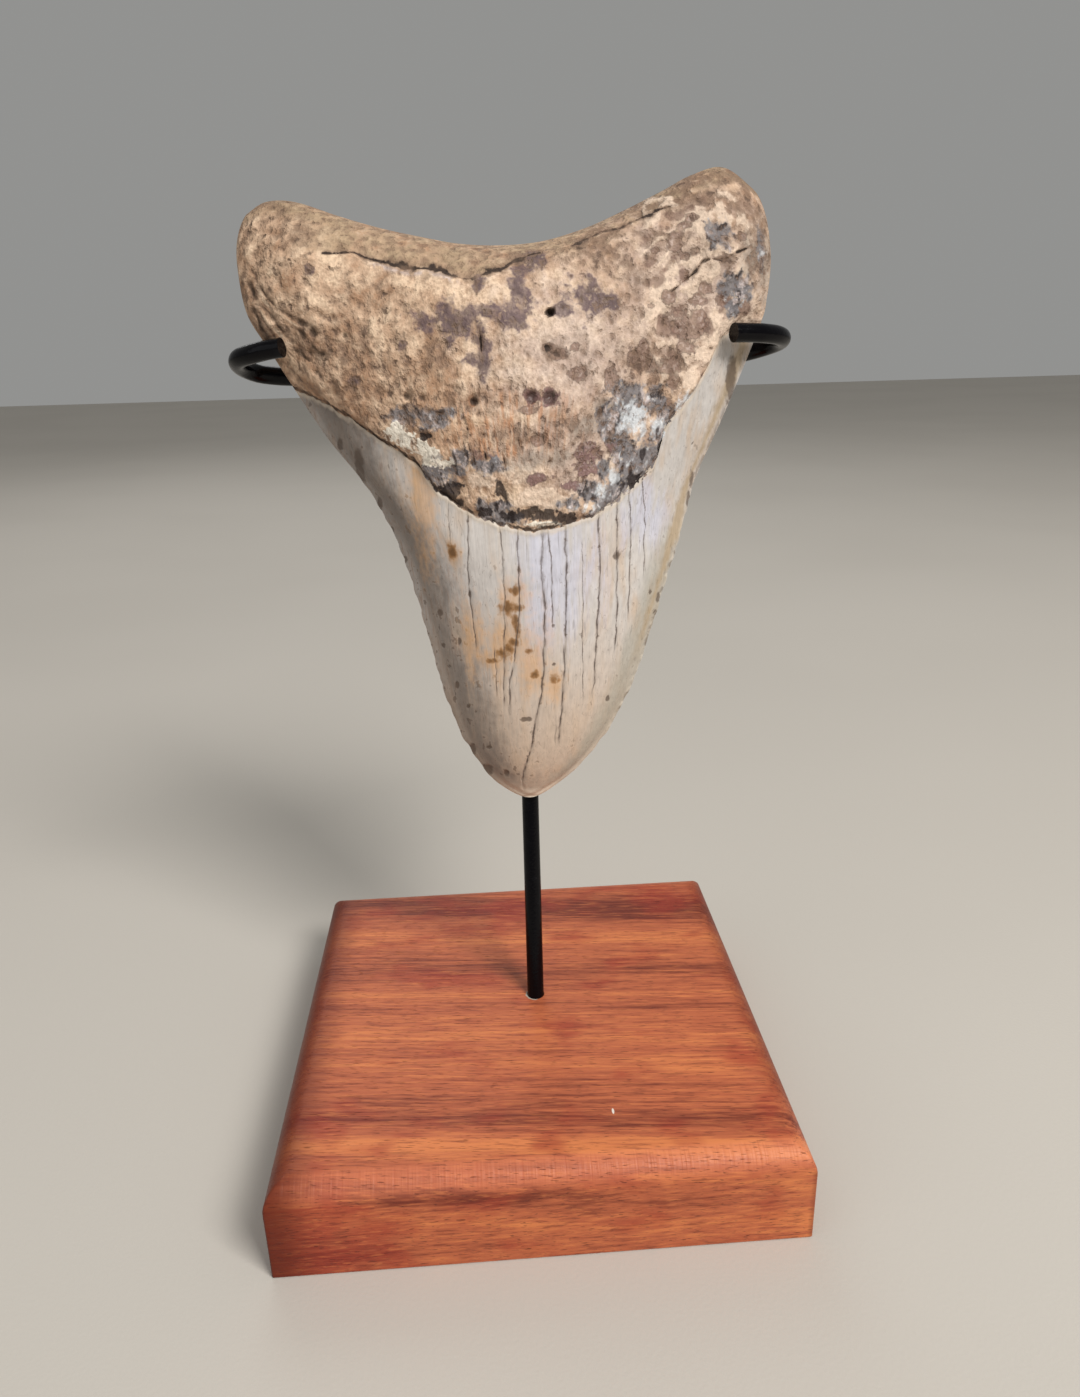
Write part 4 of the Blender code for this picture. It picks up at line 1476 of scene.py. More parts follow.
        (34.0, 115.5, 5.0, 3.0), (2.0, 65.0, 7.0, 3.5),
        (33.0, 86.0, 4.0, 4.0), (-14.0, 99.0, 6.0, 5.0), (-18.0, 96.0, 4.0, 3.0), (30.0, 93.0, 5.0, 2.0),
        (-10.0, 84.0, 3.0, 2.5), (-12.0, 92.5, 3.0, 2.0), (45.0, 103.0, 2.5, 3.0), (1.0, 79.0, 4.0, 2.0),
    ),
    Mark.ASHEN: (
        (12.0, 90.0, 16.0, 14.0), (34.0, 102.0, 16.0, 16.0), (12.0, 72.0, 14.0, 9.0),
    ),
}

BACK_MARKS: Marks = {
    Mark.PURPLE: ((14.0, 98.0, 6.0, 3.0), (-20.0, 104.0, 4.0, 2.0), (-3.0, 86.0, 3.0, 4.0)),
    Mark.BROWN: (
        (30.0, 102.0, 3.0, 2.0), (-32.0, 96.0, 2.5, 3.0), (6.0, 106.0, 2.0, 1.2),
        (-12.0, 92.0, 2.0, 1.4), (22.0, 88.0, 2.2, 1.6),
    ),
    Mark.SLATE: ((-24.0, 82.0, 4.0, 1.6), (10.0, 65.0, 5.0, 1.8), (26.0, 76.0, 3.0, 2.0)),
    Mark.BLACK: ((-6.0, 61.5, 4.0, 0.8), (16.0, 63.5, 3.0, 0.8), (-30.0, 80.5, 2.0, 0.7)),
    Mark.CREAM: ((-38.0, 108.0, 3.0, 3.0), (36.0, 112.0, 3.0, 3.0), (0.0, 74.0, 6.0, 2.4)),
    Mark.WHITE: ((-14.0, 69.0, 2.4, 1.2), (20.0, 68.0, 2.0, 1.4)),
    Mark.GREY_WHITE: ((-6.0, 70.0, 6.0, 2.0), (12.0, 80.0, 5.0, 2.4)),
    Mark.RUST: ((4.0, 44.0, 1.0, 1.4), (-6.0, 37.0, 0.9, 0.8), (11.0, 52.0, 0.8, 1.0)),
    Mark.RUST_HALO: ((4.0, 44.0, 2.2, 3.0), (-6.0, 37.0, 2.0, 2.0)),
    Mark.UMBER: (
        (-9.0, 50.0, 0.6, 0.9), (14.0, 33.0, 0.6, 0.5), (-12.0, 28.0, 0.5, 0.7),
        (7.0, 16.0, 0.8, 0.5), (19.0, 46.0, 0.5, 0.8), (-3.0, 12.0, 0.5, 0.6),
    ),
    Mark.EDGE_STAIN: ((-30.0, 68.0, 1.0, 4.0), (36.0, 67.0, 1.0, 3.5), (-10.0, 9.0, 1.4, 1.6)),
    Mark.BLUE_WHITE: ((-4.0, 44.0, 6.0, 12.0),),
    Mark.SOIL_AND_SHADE: ((-24.0, 94.0, 18.0, 10.0), (22.0, 104.0, 20.0, 10.0), (-2.0, 80.0, 12.0, 8.0)),
    Mark.BARE: ((6.0, 92.0, 14.0, 8.0), (-34.0, 110.0, 8.0, 6.0)),
    Mark.ASHEN: ((-20.0, 88.0, 18.0, 14.0),),
    Mark.MAROON: ((-8.0, 76.0, 2.4, 1.6),),
    Mark.FROST: ((24.0, 74.0, 3.0, 2.0),),
}

FRONT_CRACKS = (
    Crack(0.08, ((-14.3, 61.0), (-14.3, 55.5))),
    Crack(0.13, ((-10.5, 61.0), (-11.0, 50.5), (-11.0, 45.0), (-10.3, 38.0), (-10.2, 34.0))),
    Crack(0.08, ((-6.4, 31.0), (-6.3, 24.0))),
    Crack(0.14, ((-4.5, 60.0), (-4.0, 52.0), (-4.0, 45.0), (-5.0, 22.0))),
    Crack(0.16, (
        (-1.0, 60.0), (-1.0, 44.0), (-1.5, 39.0), (-2.5, 31.5), (-3.5, 27.5), (-4.0, 20.0),
    )),
    Crack(0.24, (
        (4.0, 57.0), (3.5, 49.0), (4.0, 43.0), (3.5, 31.5), (3.0, 25.0), (2.0, 21.0), (1.0, 16.5),
        (0.5, 13.0), (-0.5, 10.0), (-1.5, 6.0), (-1.5, 1.5),
    )),
    Crack(0.13, ((5.0, 57.0), (5.5, 53.0), (5.5, 38.0))),
    Crack(0.22, (
        (8.5, 57.0), (8.5, 52.5), (8.5, 47.5), (8.0, 35.5), (7.5, 27.0), (7.0, 21.5), (6.0, 13.0),
    )),
    Crack(0.07, ((11.8, 52.0), (11.8, 43.0), (11.6, 40.0), (11.5, 22.0))),
    Crack(0.18, ((15.0, 62.0), (15.5, 49.5), (14.5, 35.0), (14.0, 26.5), (13.5, 23.5))),
    Crack(0.17, ((19.0, 63.0), (19.0, 51.0), (19.0, 39.0), (18.5, 32.0))),
    Crack(0.13, ((21.5, 65.0), (22.0, 55.0), (21.5, 39.0))),
    Crack(0.10, ((24.0, 68.0), (25.0, 61.0), (25.0, 47.5))),
)
BACK_CRACKS = (
    Crack(0.12, ((-12.0, 64.0), (-11.0, 50.0), (-10.0, 30.0))),
    Crack(0.16, ((-5.0, 60.0), (-4.5, 40.0), (-3.5, 20.0))),
    Crack(0.22, ((1.5, 58.0), (1.0, 35.0), (0.0, 4.0))),
    Crack(0.12, ((7.0, 59.0), (6.5, 42.0), (5.5, 24.0))),
    Crack(0.16, ((13.0, 61.0), (13.5, 48.0), (12.0, 32.0))),
    Crack(0.10, ((20.0, 65.0), (20.5, 54.0), (20.0, 44.0))),
)

# Cracks in the root: points across, up and half width, in millimetres
CREST_CRACK = (
    (-35.5, 110.5, 0.12), (-29.5, 110.5, 0.2), (-27.5, 109.5, 0.24), (-24.0, 108.5, 0.3),
    (-21.5, 107.6, 0.62), (-19.5, 107.2, 0.45), (-16.5, 107.0, 0.7), (-13.5, 106.6, 0.6),
    (-11.5, 105.5, 0.3), (-9.0, 104.5, 0.28), (-6.5, 105.0, 0.25), (-4.0, 106.0, 0.5),
    (-2.0, 106.2, 0.45), (0.5, 108.0, 0.5), (3.5, 109.2, 0.45), (5.5, 109.5, 0.2),
)
CREST_CRACK_RIGHT = (
    (11.5, 110.6, 0.1), (13.0, 111.4, 0.4), (15.0, 112.3, 0.1), (17.5, 113.5, 0.14),
    (21.0, 114.0, 0.26), (24.0, 115.5, 0.12), (27.0, 116.5, 0.28), (29.0, 117.5, 0.14),
    (31.5, 118.0, 0.1),
)
ROOT_FISSURES = (
    CREST_CRACK,
    CREST_CRACK_RIGHT,
    ((-6.5, 104.0, 0.3), (-6.7, 101.5, 0.2), (-6.3, 99.5, 0.08)),
    ((-6.9, 95.5, 0.1), (-6.5, 92.0, 0.22), (-6.2, 88.5, 0.1)),
    (
        (46.2, 110.2, 0.15), (43.6, 109.2, 0.4), (41.0, 107.6, 0.22), (38.6, 107.9, 0.08),
        (36.6, 107.2, 0.15), (35.4, 105.6, 0.2), (33.0, 103.8, 0.08), (30.4, 101.8, 0.12),
    ),
    ((41.6, 92.6, 0.25), (40.3, 90.1, 0.38), (39.2, 88.6, 0.2)),
    ((5.3, 92.2, 0.3), (6.9, 90.7, 0.55), (8.8, 89.7, 0.5)),
    ((-9.8, 77.5, 0.08), (-9.5, 73.0, 0.13)),
    ((-6.8, 76.0, 0.08), (-6.6, 71.5, 0.14)),
    ((-3.2, 73.5, 0.1), (-3.0, 69.5, 0.1)),
    ((-0.3, 77.5, 0.08), (-0.1, 72.0, 0.14)),
    ((4.5, 78.0, 0.07), (4.6, 74.0, 0.1)),
)
BACK_FISSURES = (
    ((-30.0, 104.0, 0.3), (-18.0, 99.0, 0.4), (-6.0, 98.0, 0.3), (2.0, 94.0, 0.2)),
    ((24.0, 108.0, 0.3), (27.0, 98.0, 0.35), (24.0, 90.0, 0.2)),
)

# Wrinkles of the left lobe: points across and up and half width, in millimetres
FOLD_GROOVES = (
    (
        (-49.6, 108.6, 0.2), (-48.0, 105.0, 0.4), (-45.5, 101.4, 0.45), (-42.3, 99.3, 0.5),
        (-38.9, 97.4, 0.35), (-37.8, 96.1, 0.3),
    ),
    (
        (-50.2, 106.2, 0.4), (-49.0, 102.7, 0.45), (-46.9, 100.1, 0.4), (-44.8, 97.7, 0.45),
        (-43.8, 96.3, 0.3),
    ),
    ((-49.9, 101.5, 0.4), (-48.4, 97.1, 0.4), (-47.4, 95.7, 0.3)),
    ((-41.4, 97.4, 0.35), (-40.3, 95.7, 0.35)),
    ((-42.6, 94.0, 0.25), (-39.8, 91.5, 0.35)),
    ((-38.6, 93.8, 0.3), (-36.5, 91.6, 0.4)),
)
FOLD_RIDGES = (
    ((-49.4, 107.6, 0.3), (-47.5, 102.9, 0.5), (-43.9, 99.7, 0.45), (-41.2, 97.6, 0.3)),
    ((-49.2, 102.6, 0.3), (-47.6, 99.6, 0.45), (-44.8, 96.4, 0.4)),
)

FRONT_PITS = (
    Pit(6.7, 98.0, 0.95, 2.4), Pit(2.6, 82.6, 1.5, 1.2), Pit(6.0, 82.4, 1.75, 1.35),
    Pit(-8.3, 82.2, 1.2, 1.1), Pit(-21.0, 83.8, 1.1, 0.9), Pit(-18.3, 83.3, 0.9, 0.8),
    Pit(-32.2, 95.6, 0.7, 0.8), Pit(-36.7, 99.4, 0.8, 0.7), Pit(-34.3, 99.0, 0.7, 0.7),
    Pit(-12.3, 84.9, 0.9, 0.6), Pit(13.8, 96.1, 0.6, 0.6), Pit(16.1, 94.1, 0.6, 0.6),
    Pit(19.5, 92.3, 0.6, 0.5), Pit(6.8, 103.1, 0.6, 0.4), Pit(29.1, 111.4, 0.6, 0.5),
    Pit(34.9, 115.4, 0.9, 0.7), Pit(28.8, 108.4, 0.5, 0.4), Pit(-18.2, 98.9, 0.6, 0.5),
    Pit(-32.6, 98.9, 0.6, 0.5), Pit(-23.0, 111.7, 0.6, 0.4), Pit(12.8, 110.3, 0.8, 0.6),
    Pit(-13.2, 92.6, 0.9, 0.5), Pit(-39.4, 93.0, 0.8, 0.6), Pit(-36.8, 92.6, 0.7, 0.6),
)
BACK_PITS = (Pit(-4.0, 88.0, 1.0, 1.6), Pit(15.0, 93.0, 0.9, 0.9), Pit(-25.0, 92.0, 1.2, 0.8))


@dataclass
class Grid:
    """Rows and columns over one face of the tooth, in millimetres."""

    side: np.ndarray
    rise: np.ndarray
    is_root: np.ndarray
    across: np.ndarray
    up: np.ndarray
    line: np.ndarray
    left_gap: np.ndarray
    right_gap: np.ndarray

    def edge(self) -> np.ndarray:
        """Fall from 1 in the middle of the face to 0 on both of its sides."""
        return rounded_off(abs(2 * self.side - 1)[None, :], EDGE_POWER)

    def top(self) -> np.ndarray:
        """Fall from 1 lower down to 0 along the top edge of the root."""
        return rounded_off(np.where(self.is_root, self.rise, 0.0)[:, None], TOP_POWER)

    def thinned(self) -> "Grid":
        """Every other row and column, from the first row and column on."""
        parts = (self.across, self.up, self.line, self.left_gap, self.right_gap)
        return Grid(
            self.side[::2], self.rise[::2], self.is_root[::2], *(part[::2, ::2] for part in parts)
        )


@dataclass
class ToothForm:
    """Outline and thickness of the tooth, from which both faces are made."""

    crown_left: tuple[Pair, ...] = (
        (0.0, 0.0), (-7.0, 3.7), (-10.7, 8.4), (-14.2, 14.5), (-17.0, 22.5), (-19.5, 33.0),
        (-22.5, 46.0), (-26.2, 58.0), (-31.8, 68.6), (-38.0, 77.2), (-43.8, 86.8),
    )
    crown_right: tuple[Pair, ...] = (
        (0.0, 0.0), (7.2, 3.6), (11.9, 7.6), (16.6, 13.0), (20.8, 19.8), (25.0, 29.5),
        (29.4, 42.6), (33.2, 54.2), (37.2, 67.6), (43.0, 80.0), (50.3, 97.0),
    )
    root_left: tuple[Pair, ...] = (
        (-43.8, 86.8), (-48.2, 94.5), (-51.8, 101.0), (-52.9, 108.5), (-52.6, 114.5),
        (-50.4, 119.4),
    )
    root_right: tuple[Pair, ...] = (
        (50.3, 97.0), (51.6, 102.5), (52.2, 108.0), (51.9, 113.0), (50.9, 118.0), (48.5, 122.3),
    )
    root_top: tuple[Pair, ...] = (
        (-50.4, 119.4), (-46.5, 121.5), (-41.0, 121.4), (-32.5, 118.6), (-24.8, 116.3),
        (-17.5, 114.6), (-9.8, 113.1), (-1.8, 112.6), (6.2, 113.2), (14.9, 115.5), (22.5, 118.6),
        (29.8, 121.9), (36.3, 125.0), (42.5, 126.2), (48.5, 122.3),
    )
    root_line: tuple[Pair, ...] = (
        (-43.8, 86.8), (-37.5, 83.8), (-31.7, 79.6), (-25.8, 75.3), (-20.0, 71.0), (-16.0, 65.8),
        (-11.0, 62.2), (-5.0, 59.2), (2.0, 57.5), (9.0, 58.8), (16.0, 61.0), (22.0, 65.2),
        (27.0, 70.0), (29.0, 76.0), (33.5, 81.5), (38.0, 87.5), (41.0, 93.5), (45.5, 96.0),
        (50.3, 97.0),
    )
    root_line_sag: float = 33.5
    line_power: float = 1.6
    line_ends: float = 0.08
    line_bend: float = 1.5
    fray: Waves = ((0.55, 2.6, 3.7), (0.3, 0.9, 9.1))
    fray_fade: Pair = (8.0, 6.0)
    crown_front: float = 11.0
    crown_front_powers: Pair = (2.1, 1.1)
    crown_back: float = 5.4
    crown_back_powers: Pair = (3.0, 0.9)
    crown_powers: Pair = (1.5, 0.9)
    root_start: float = 0.25
    lobe_front: float = 3.6
    boss_front: float = 10.0
    boss_half_share: float = 0.6
    knob_front: float = 2.0
    knobs: tuple[Pair, ...] = ((-41.0, 109.0), (42.0, 112.0))
    knob_reach: Pair = (9.0, 10.0)
    root_back: float = 6.9
    front_lumps: Waves = ((0.55, 11.0, 1.5), (0.45, 5.0, 4.2))
    back_lumps: Waves = ((0.3, 9.0, 8.3),)
    chip: float = 0.45
    chip_more: float = 0.2
    chip_waves: Waves = ((1.0, 1.9, 6.6),)
    chip_span: Span = ((2.0, 6.0), (74.0, 8.0))
    chip_power: float = 12.0

    def __post_init__(self) -> None:
        """Join the outline's parts into one loop, from the tip up the right side."""
        loop = [*self.crown_right[:-1], *self.root_right[:-1], *self.root_top[:0:-1]]
        loop += [*self.root_left[:0:-1], *self.crown_left[:0:-1]]
        self.loop = np.array(loop)

    def outline_at(self, place: np.ndarray) -> np.ndarray:
        """Points of the closed outline at places counted in its points."""
        index = np.floor(place).astype(int)
        corners = [self.loop[(index + offset) % len(self.loop)] for offset in (-1, 0, 1, 2)]
        return curve_point(corners, (place - index)[:, None])

    @staticmethod
    def height_at(points: Sequence[Pair], across: np.ndarray) -> np.ndarray:
        """Height of a smooth curve through points.

        Args:
            points: Points across and up, from left to right.
            across: Places across.

        Returns:
            Height at each place.
        """
        spots = np.array(points)
        last = len(spots) - 1
        index = np.clip(np.searchsorted(spots[1:, 0], across, side="left"), 0, last - 1)
        left, right = spots[index], spots[index + 1]
        before, after = spots[np.maximum(index - 1, 0)], spots[np.minimum(index + 2, last)]
        span = right[:, 0] - left[:, 0]
        share = (across - left[:, 0]) / span
        slope_left = (right[:, 1] - before[:, 1]) / (right[:, 0] - before[:, 0])
        slope_right = (after[:, 1] - left[:, 1]) / (after[:, 0] - left[:, 0])
        square, cube = share ** 2, share ** 3
        height = (2 * cube - 3 * square + 1) * left[:, 1] + (3 * square - 2 * cube) * right[:, 1]
        height += (cube - 2 * square + share) * span * slope_left
        return height + (cube - square) * span * slope_right

    def sag(self, side: np.ndarray) -> tuple[np.ndarray, np.ndarray]:
        """Drop of the root line below its chord.

        Args:
            side: Shares from left to right.

        Returns:
            The even drop, and the uneven and frayed rest.
        """
        first, last = self.root_line[0], self.root_line[-1]
        across = between(first[0], last[0], side)
        spread = abs(2 * side - 1)
        even = -self.root_line_sag * (1 - spread ** self.line_power)
        rest = self.height_at(self.root_line, across) - between(first[1], last[1], side) - even
        return even, rest + wavering(across, self.fray) * ramp(spread, 1.0, -self.line_ends)

    def crown_places(self, side: np.ndarray, rise: np.ndarray) -> tuple[np.ndarray, np.ndarray]:
        """Places across and up on the crown.

        Args:
            side: Shares from left to right, one for each column.
            rise: Shares from the tip to the root line, one for each row.

        Returns:
            Places across and up, a row for each rise.
        """
        last = len(self.crown_right) - 1
        left = self.outline_at(-rise * last)
        right = self.outline_at(rise * last)
        across = between(left[:, :1], right[:, :1], side[None, :])
        up = between(left[:, 1:], right[:, 1:], side[None, :])
        even, uneven = self.sag(side)
        share = rise[:, None]
        up = up + even[None, :] * share ** self.line_bend
        return across, up + uneven[None, :] * share ** self.fray_fade[0]

    def root_places(self, side: np.ndarray, rise: np.ndarray) -> tuple[np.ndarray, np.ndarray]:
        """Places across and up on the root.

        Args:
            side: Shares from left to right, one for each column.
            rise: Shares from the root line to the top edge, one for each row.

        Returns:
            Places across and up, a row for each rise.
        """
        first = len(self.crown_right) - 1
        steps = len(self.root_right) - 1
        left = self.outline_at(-first - rise * steps)
        right = self.outline_at(first + rise * steps)
        top = self.root_top
        top_sag = self.height_at(top, between(top[0][0], top[-1][0], side))
        top_sag -= between(top[0][1], top[-1][1], side)
        even, uneven = self.sag(side)
        share = rise[:, None]
        across = between(left[:, :1], right[:, :1], side[None, :])
        up = between(left[:, 1:], right[:, 1:], side[None, :])
        up = up + between(even[None, :], top_sag[None, :], share)
        return across, up + uneven[None, :] * (1 - share) ** self.fray_fade[1]

    def grid(self, side: np.ndarray, crown_rise: np.ndarray, root_rise: np.ndarray) -> Grid:
        """Lay rows and columns over the tooth.

        Args:
            side: Shares from left to right of the columns.
            crown_rise: Shares up the crown of its rows.
            root_rise: Shares up the root of its rows.

        Returns:
            The grid, with chips worn out of the cutting edges.
        """
        crown = self.crown_places(side, crown_rise)
        root = self.root_places(side, root_rise)
        across = np.vstack([crown[0], root[0]])
        up = np.vstack([crown[1], root[1]])
        is_root = np.repeat([False, True], [len(crown_rise), len(root_rise)])
        line_up = crown[1][-1]
        slope = np.gradient(self.height_at(self.root_line, crown[0][-1]), crown[0][-1])
        line = (up - line_up[None, :]) / np.sqrt(1 + slope[None, :] ** 2)
        left_gap = across - across[:, :1]
        right_gap = across[:, -1:] - across
        chip = self.chip * np.maximum(0.0, self.chip_more + wavering(up, self.chip_waves))
        chip = chip * stretch(up, self.chip_span) * ~is_root[:, None]
        spread = (2 * side - 1)[None, :]
        across = across - chip * np.sign(spread) * abs(spread) ** self.chip_power
        return Grid(
            side, np.concatenate([crown_rise, root_rise]), is_root, across, up, line,
            left_gap, right_gap,
        )

    def crown_thickness(self, side: np.ndarray, rise: Any) -> tuple[np.ndarray, np.ndarray]:
        """Front and back thickness of the crown.

        Args:
            side: Shares from left to right.
            rise: Shares up the crown.

        Returns:
            Thickness on each side of the plane of the cutting edges.
        """
        spread = abs(2 * side - 1)
        inner, outer = self.crown_powers
        swell = (1 - (1 - rise) ** inner) ** outer
        front, back = (
            depth * swell * np.maximum(1 - spread ** inner, 0.0) ** outer
            for depth, (inner, outer) in (
                (self.crown_front, self.crown_front_powers), (self.crown_back, self.crown_back_powers)
            )
        )
        return front, back

    def root_thickness(self, grid: Grid, rows: slice) -> tuple[np.ndarray, np.ndarray]:
        """Front and back thickness of the root, with its main lumps.

        Args:
            grid: Grid of the whole face.
            rows: Rows of the root.

        Returns:
            Thickness on each side of the plane of the cutting edges.
        """
        side, rise = grid.side[None, :], grid.rise[rows, None]
        across, up = grid.across[rows], grid.up[rows]
        edge = grid.edge()
        crown_front, crown_back = self.crown_thickness(side, 1.0)
        boss = self.boss_front * hump(abs(2 * side - 1), self.boss_half_share)
        grown = ramp(rise, 0.0, self.root_start)
        front = between(crown_front, (self.lobe_front + boss) * edge, grown)
        back = between(crown_back, self.root_back * edge, grown)
        wide, high = self.knob_reach
        for middle_across, middle_up in self.knobs:
            knob = hump(across - middle_across, wide) * hump(up - middle_up, high)
            front = front + edge * self.knob_front * knob
        front = front + edge * waves(across, up, self.front_lumps)
        return front, back + edge * waves(across, up, self.back_lumps)


@dataclass
class Surface:
    """Relief and marks of one face of the tooth."""

    grid: Grid
    marks: Marks
    cracks: tuple[Crack, ...]
    fissures: tuple[tuple[Size3, ...], ...]
    pits: tuple[Pit, ...]
    seed: int
    is_front: bool
    patch_floor: float = -1.5
    crack_heights: Size3 = (0.0, 130.0, 0.2)
    crack_far: float = 30.0
    crack_wander: Waves = ((0.28, 3.1, 5.0), (0.12, 0.9, 15.0))
    crack_swell: Waves = ((0.9, 1.7, 25.0),)
    crack_width: float = 0.8
    crack_least: float = 0.25
    crack_ends: Span = ((-1.0, 3.0), (4.0, 2.0))
    crack_reach: float = 0.9
    path_far: float = 6.0
    path_wander: Waves = ((0.15, 1.4, 40.0),)
    path_swell: Waves = ((1.4, 2.4, 44.0),)
    path_least: float = 0.3
    scattered_pits: int = 1000
    pit_corners: Span = ((-52.0, 58.0), (52.0, 125.0))
    pit_radii: Size3 = (0.28, 0.5, 2.2)
    pit_depths: Pair = (0.3, 0.75)
    pit_roundness: float = 0.8
    crest_span: Span = ((-44.0, 14.0), (40.0, 12.0))
    crest_edge: float = 0.7
    crest_rows: Pair = (0.86, 0.08)
    rim_span: Span = ((-28.0, 3.0), (-9.0, 3.0))
    rim_line: Size3 = (1.0, 1.0, 0.5)
    right_across: Span = ((20.0, 8.0), (51.0, 6.0))
    right_up: Span = ((80.0, 8.0), (124.0, 5.0))
    ridges: Waves = ((1.0, 3.6, 12.7),)
    veins: Waves = ((4.0, 4.4, 77.0),)
    network_shares: Pair = (0.6, 0.9)
    streak_up: Span = ((69.0, 4.0), (86.0, 5.0))
    streak_across: Size3 = (1.0, -2.0, 13.0)
    crevice_right: Pair = (11.0, 6.0)
    crevice_rest: float = 0.35
    line_far: float = 8.0
    bone_waves: Waves = ((0.22, 2.3, 21.3), (0.13, 1.15, 33.1))
    sunk_edge: Pair = (-0.15, 0.35)
    fissure_depth: float = 0.65
    ledge_height: float = 1.2
    ledge_width: float = 0.7
    ledge_groove: Size3 = (0.75, 0.6, 0.5)
    crest_depth: float = 0.7
    fold_height: float = 0.22
    fold_depth: float = 0.4
    ridge_height: float = 0.5
    network_height: float = 0.25
    ripple_height: float = 0.12
    ripple_slope: float = 0.72
    ripple_spacing: float = 5.5
    ripple_right: Pair = (-30.0, -8.0)
    ripple_top: Pair = (116.0, -8.0)
    enamel_waves: Waves = ((0.07, 6.0, 55.0),)
    growth_waves: Waves = ((0.05, 22.0, 52.0),)
    growth_squeeze: float = 12.0
    crack_depth: float = 0.16
    crack_spread: float = 1.6
    umber_depth: float = 0.14
    umber_edge: Pair = (-0.2, 0.5)
    stain_depth: float = 0.2
    stain_edge: Pair = (-0.1, 0.4)
    lip: Size3 = (0.16, -0.35, 0.35)
    bevel: Size3 = (0.3, 2.3, 1.3)
    back_share: float = 0.6
    back_drop: float = 0.05
    hooks: tuple[Pair, ...] = ((-44.5, 93.9), (-47.5, 93.5), (45.0, 94.4))
    hook_reach: float = 4.2
    hook_bluntness: float = 4.0
    hook_dents: float = 0.5
    fan_low: float = 20.0
    fan_radius: float = 60.0

    def patch_field(self, mark: Mark) -> np.ndarray:
        """Field of one kind of patch: 1 in a patch's middle, 0 on its edge, then negative."""
        best = np.full(self.grid.across.shape, self.patch_floor)
        for given in self.marks[mark]:
            patch = Patch(*given)
            off_across = (self.grid.across - patch.across) / patch.wide
            off_up = (self.grid.up - patch.up) / patch.high
            best = np.maximum(best, 1 - np.hypot(off_across, off_up))
        return best

    def crack_fields(self) -> tuple[np.ndarray, np.ndarray]:
        """Cracks of the enamel, as numbers that stay sharp between the mesh's vertices.

        Returns:
            Distance to the nearest crack in its half widths, with a sign that changes from
            each crack to the next, and how strongly the nearest crack shows.
        """
        up = self.grid.up
        heights = np.arange(*self.crack_heights)
        nearest = np.full(up.shape, self.crack_far)
        passed = np.zeros(up.shape, dtype=int)
        share = np.zeros(up.shape)
        (start, ease_in), (end, ease_out) = self.crack_ends
        for number, crack in enumerate(self.cracks):
            places, levels = np.array(crack.points[::-1]).T
            wander = wavering(heights, self.crack_wander, number)
            middle = np.interp(up, levels, places) + np.interp(up, heights, wander)
            swell = wavering(heights, self.crack_swell, number)
            width = np.maximum(self.crack_width + np.interp(up, heights, swell), self.crack_least)
            off = (self.grid.across - middle) / (crack.half_width * width)
            nearest = np.minimum(nearest, abs(off))
            passed += off > 0
            ends = stretch(up, ((levels[0] + start, ease_in), (levels[-1] + end, ease_out)))
            share = np.maximum(share, ends * hump(self.grid.across - middle, self.crack_reach))
        return nearest * np.where(passed % 2 == 1, 1.0, -1.0), share

    def path_field(self, paths: Sequence[Sequence[Size3]]) -> np.ndarray:
        """Distance to the nearest of some paths, in its half widths there, up to a limit."""
        nearest = np.full(self.grid.up.shape, self.path_far)
        place = np.stack([self.grid.across, self.grid.up], axis=-1)
        wander = waves(self.grid.across, self.grid.up, self.path_wander)
        swell = 1 + waves(self.grid.across, self.grid.up, self.path_swell)
        swell = np.maximum(swell, self.path_least)
        for path in paths:
            points = np.array(path)
            for start, finish in zip(points, points[1:]):
                span = finish[:2] - start[:2]
                share = np.clip(((place - start[:2]) @ span) / (span @ span), 0.0, 1.0)
                off = np.linalg.norm(place - start[:2] - share[..., None] * span, axis=-1)
                width = between(start[2], finish[2], share) * swell
                nearest = np.minimum(nearest, np.maximum(off + wander, 0.0) / width)
        return nearest

    def all_pits(self) -> list[Pit]:
        """Named pits, then small ones scattered over the root."""
        picker = np.random.default_rng(self.seed)
        places = picker.uniform(*self.pit_corners, (self.scattered_pits, 2))
        least, more, power = self.pit_radii
        radii = least + more * picker.random(self.scattered_pits) ** power
        depths = radii * picker.uniform(*self.pit_depths, self.scattered_pits)
        return [*self.pits, *(Pit(*place, r, d) for place, r, d in zip(places, radii, depths))]

    def pitting(self) -> np.ndarray:
        """Depth of the pits at each place."""
        depth = np.zeros(self.grid.up.shape)
        across, up = self.grid.across, self.grid.up
        for pit in self.all_pits():
            near = (abs(across - pit.across) < pit.radius) & (abs(up - pit.up) < pit.radius)
            off = (across[near] - pit.across) ** 2 + (up[near] - pit.up) ** 2
            bowl = np.maximum(0.0, 1 - off / pit.radius ** 2) ** self.pit_roundness
            depth[near] = np.maximum(depth[near], pit.depth * bowl)
        return depth

    def crest_setback(self) -> np.ndarray:
        """Share of the set-back crest above the long crack at the top of the root."""
        if not self.is_front:
            return np.zeros(self.grid.up.shape)
        path = np.array(CREST_CRACK + CREST_CRACK_RIGHT)
        crack_up = np.interp(self.grid.across, path[:, 0], path[:, 1])
        inside = stretch(self.grid.across, self.crest_span)
        return ramp(self.grid.up, crack_up, self.crest_edge) * inside

    def crest_rim(self) -> np.ndarray:
        """Pale rim just under the left half of the long crack."""
        path = np.array(CREST_CRACK)
        drop = np.interp(self.grid.across, path[:, 0], path[:, 1]) - self.grid.up
        inside = stretch(self.grid.across, self.rim_span)
        return bulge(drop, *self.rim_line) * inside * self.is_front

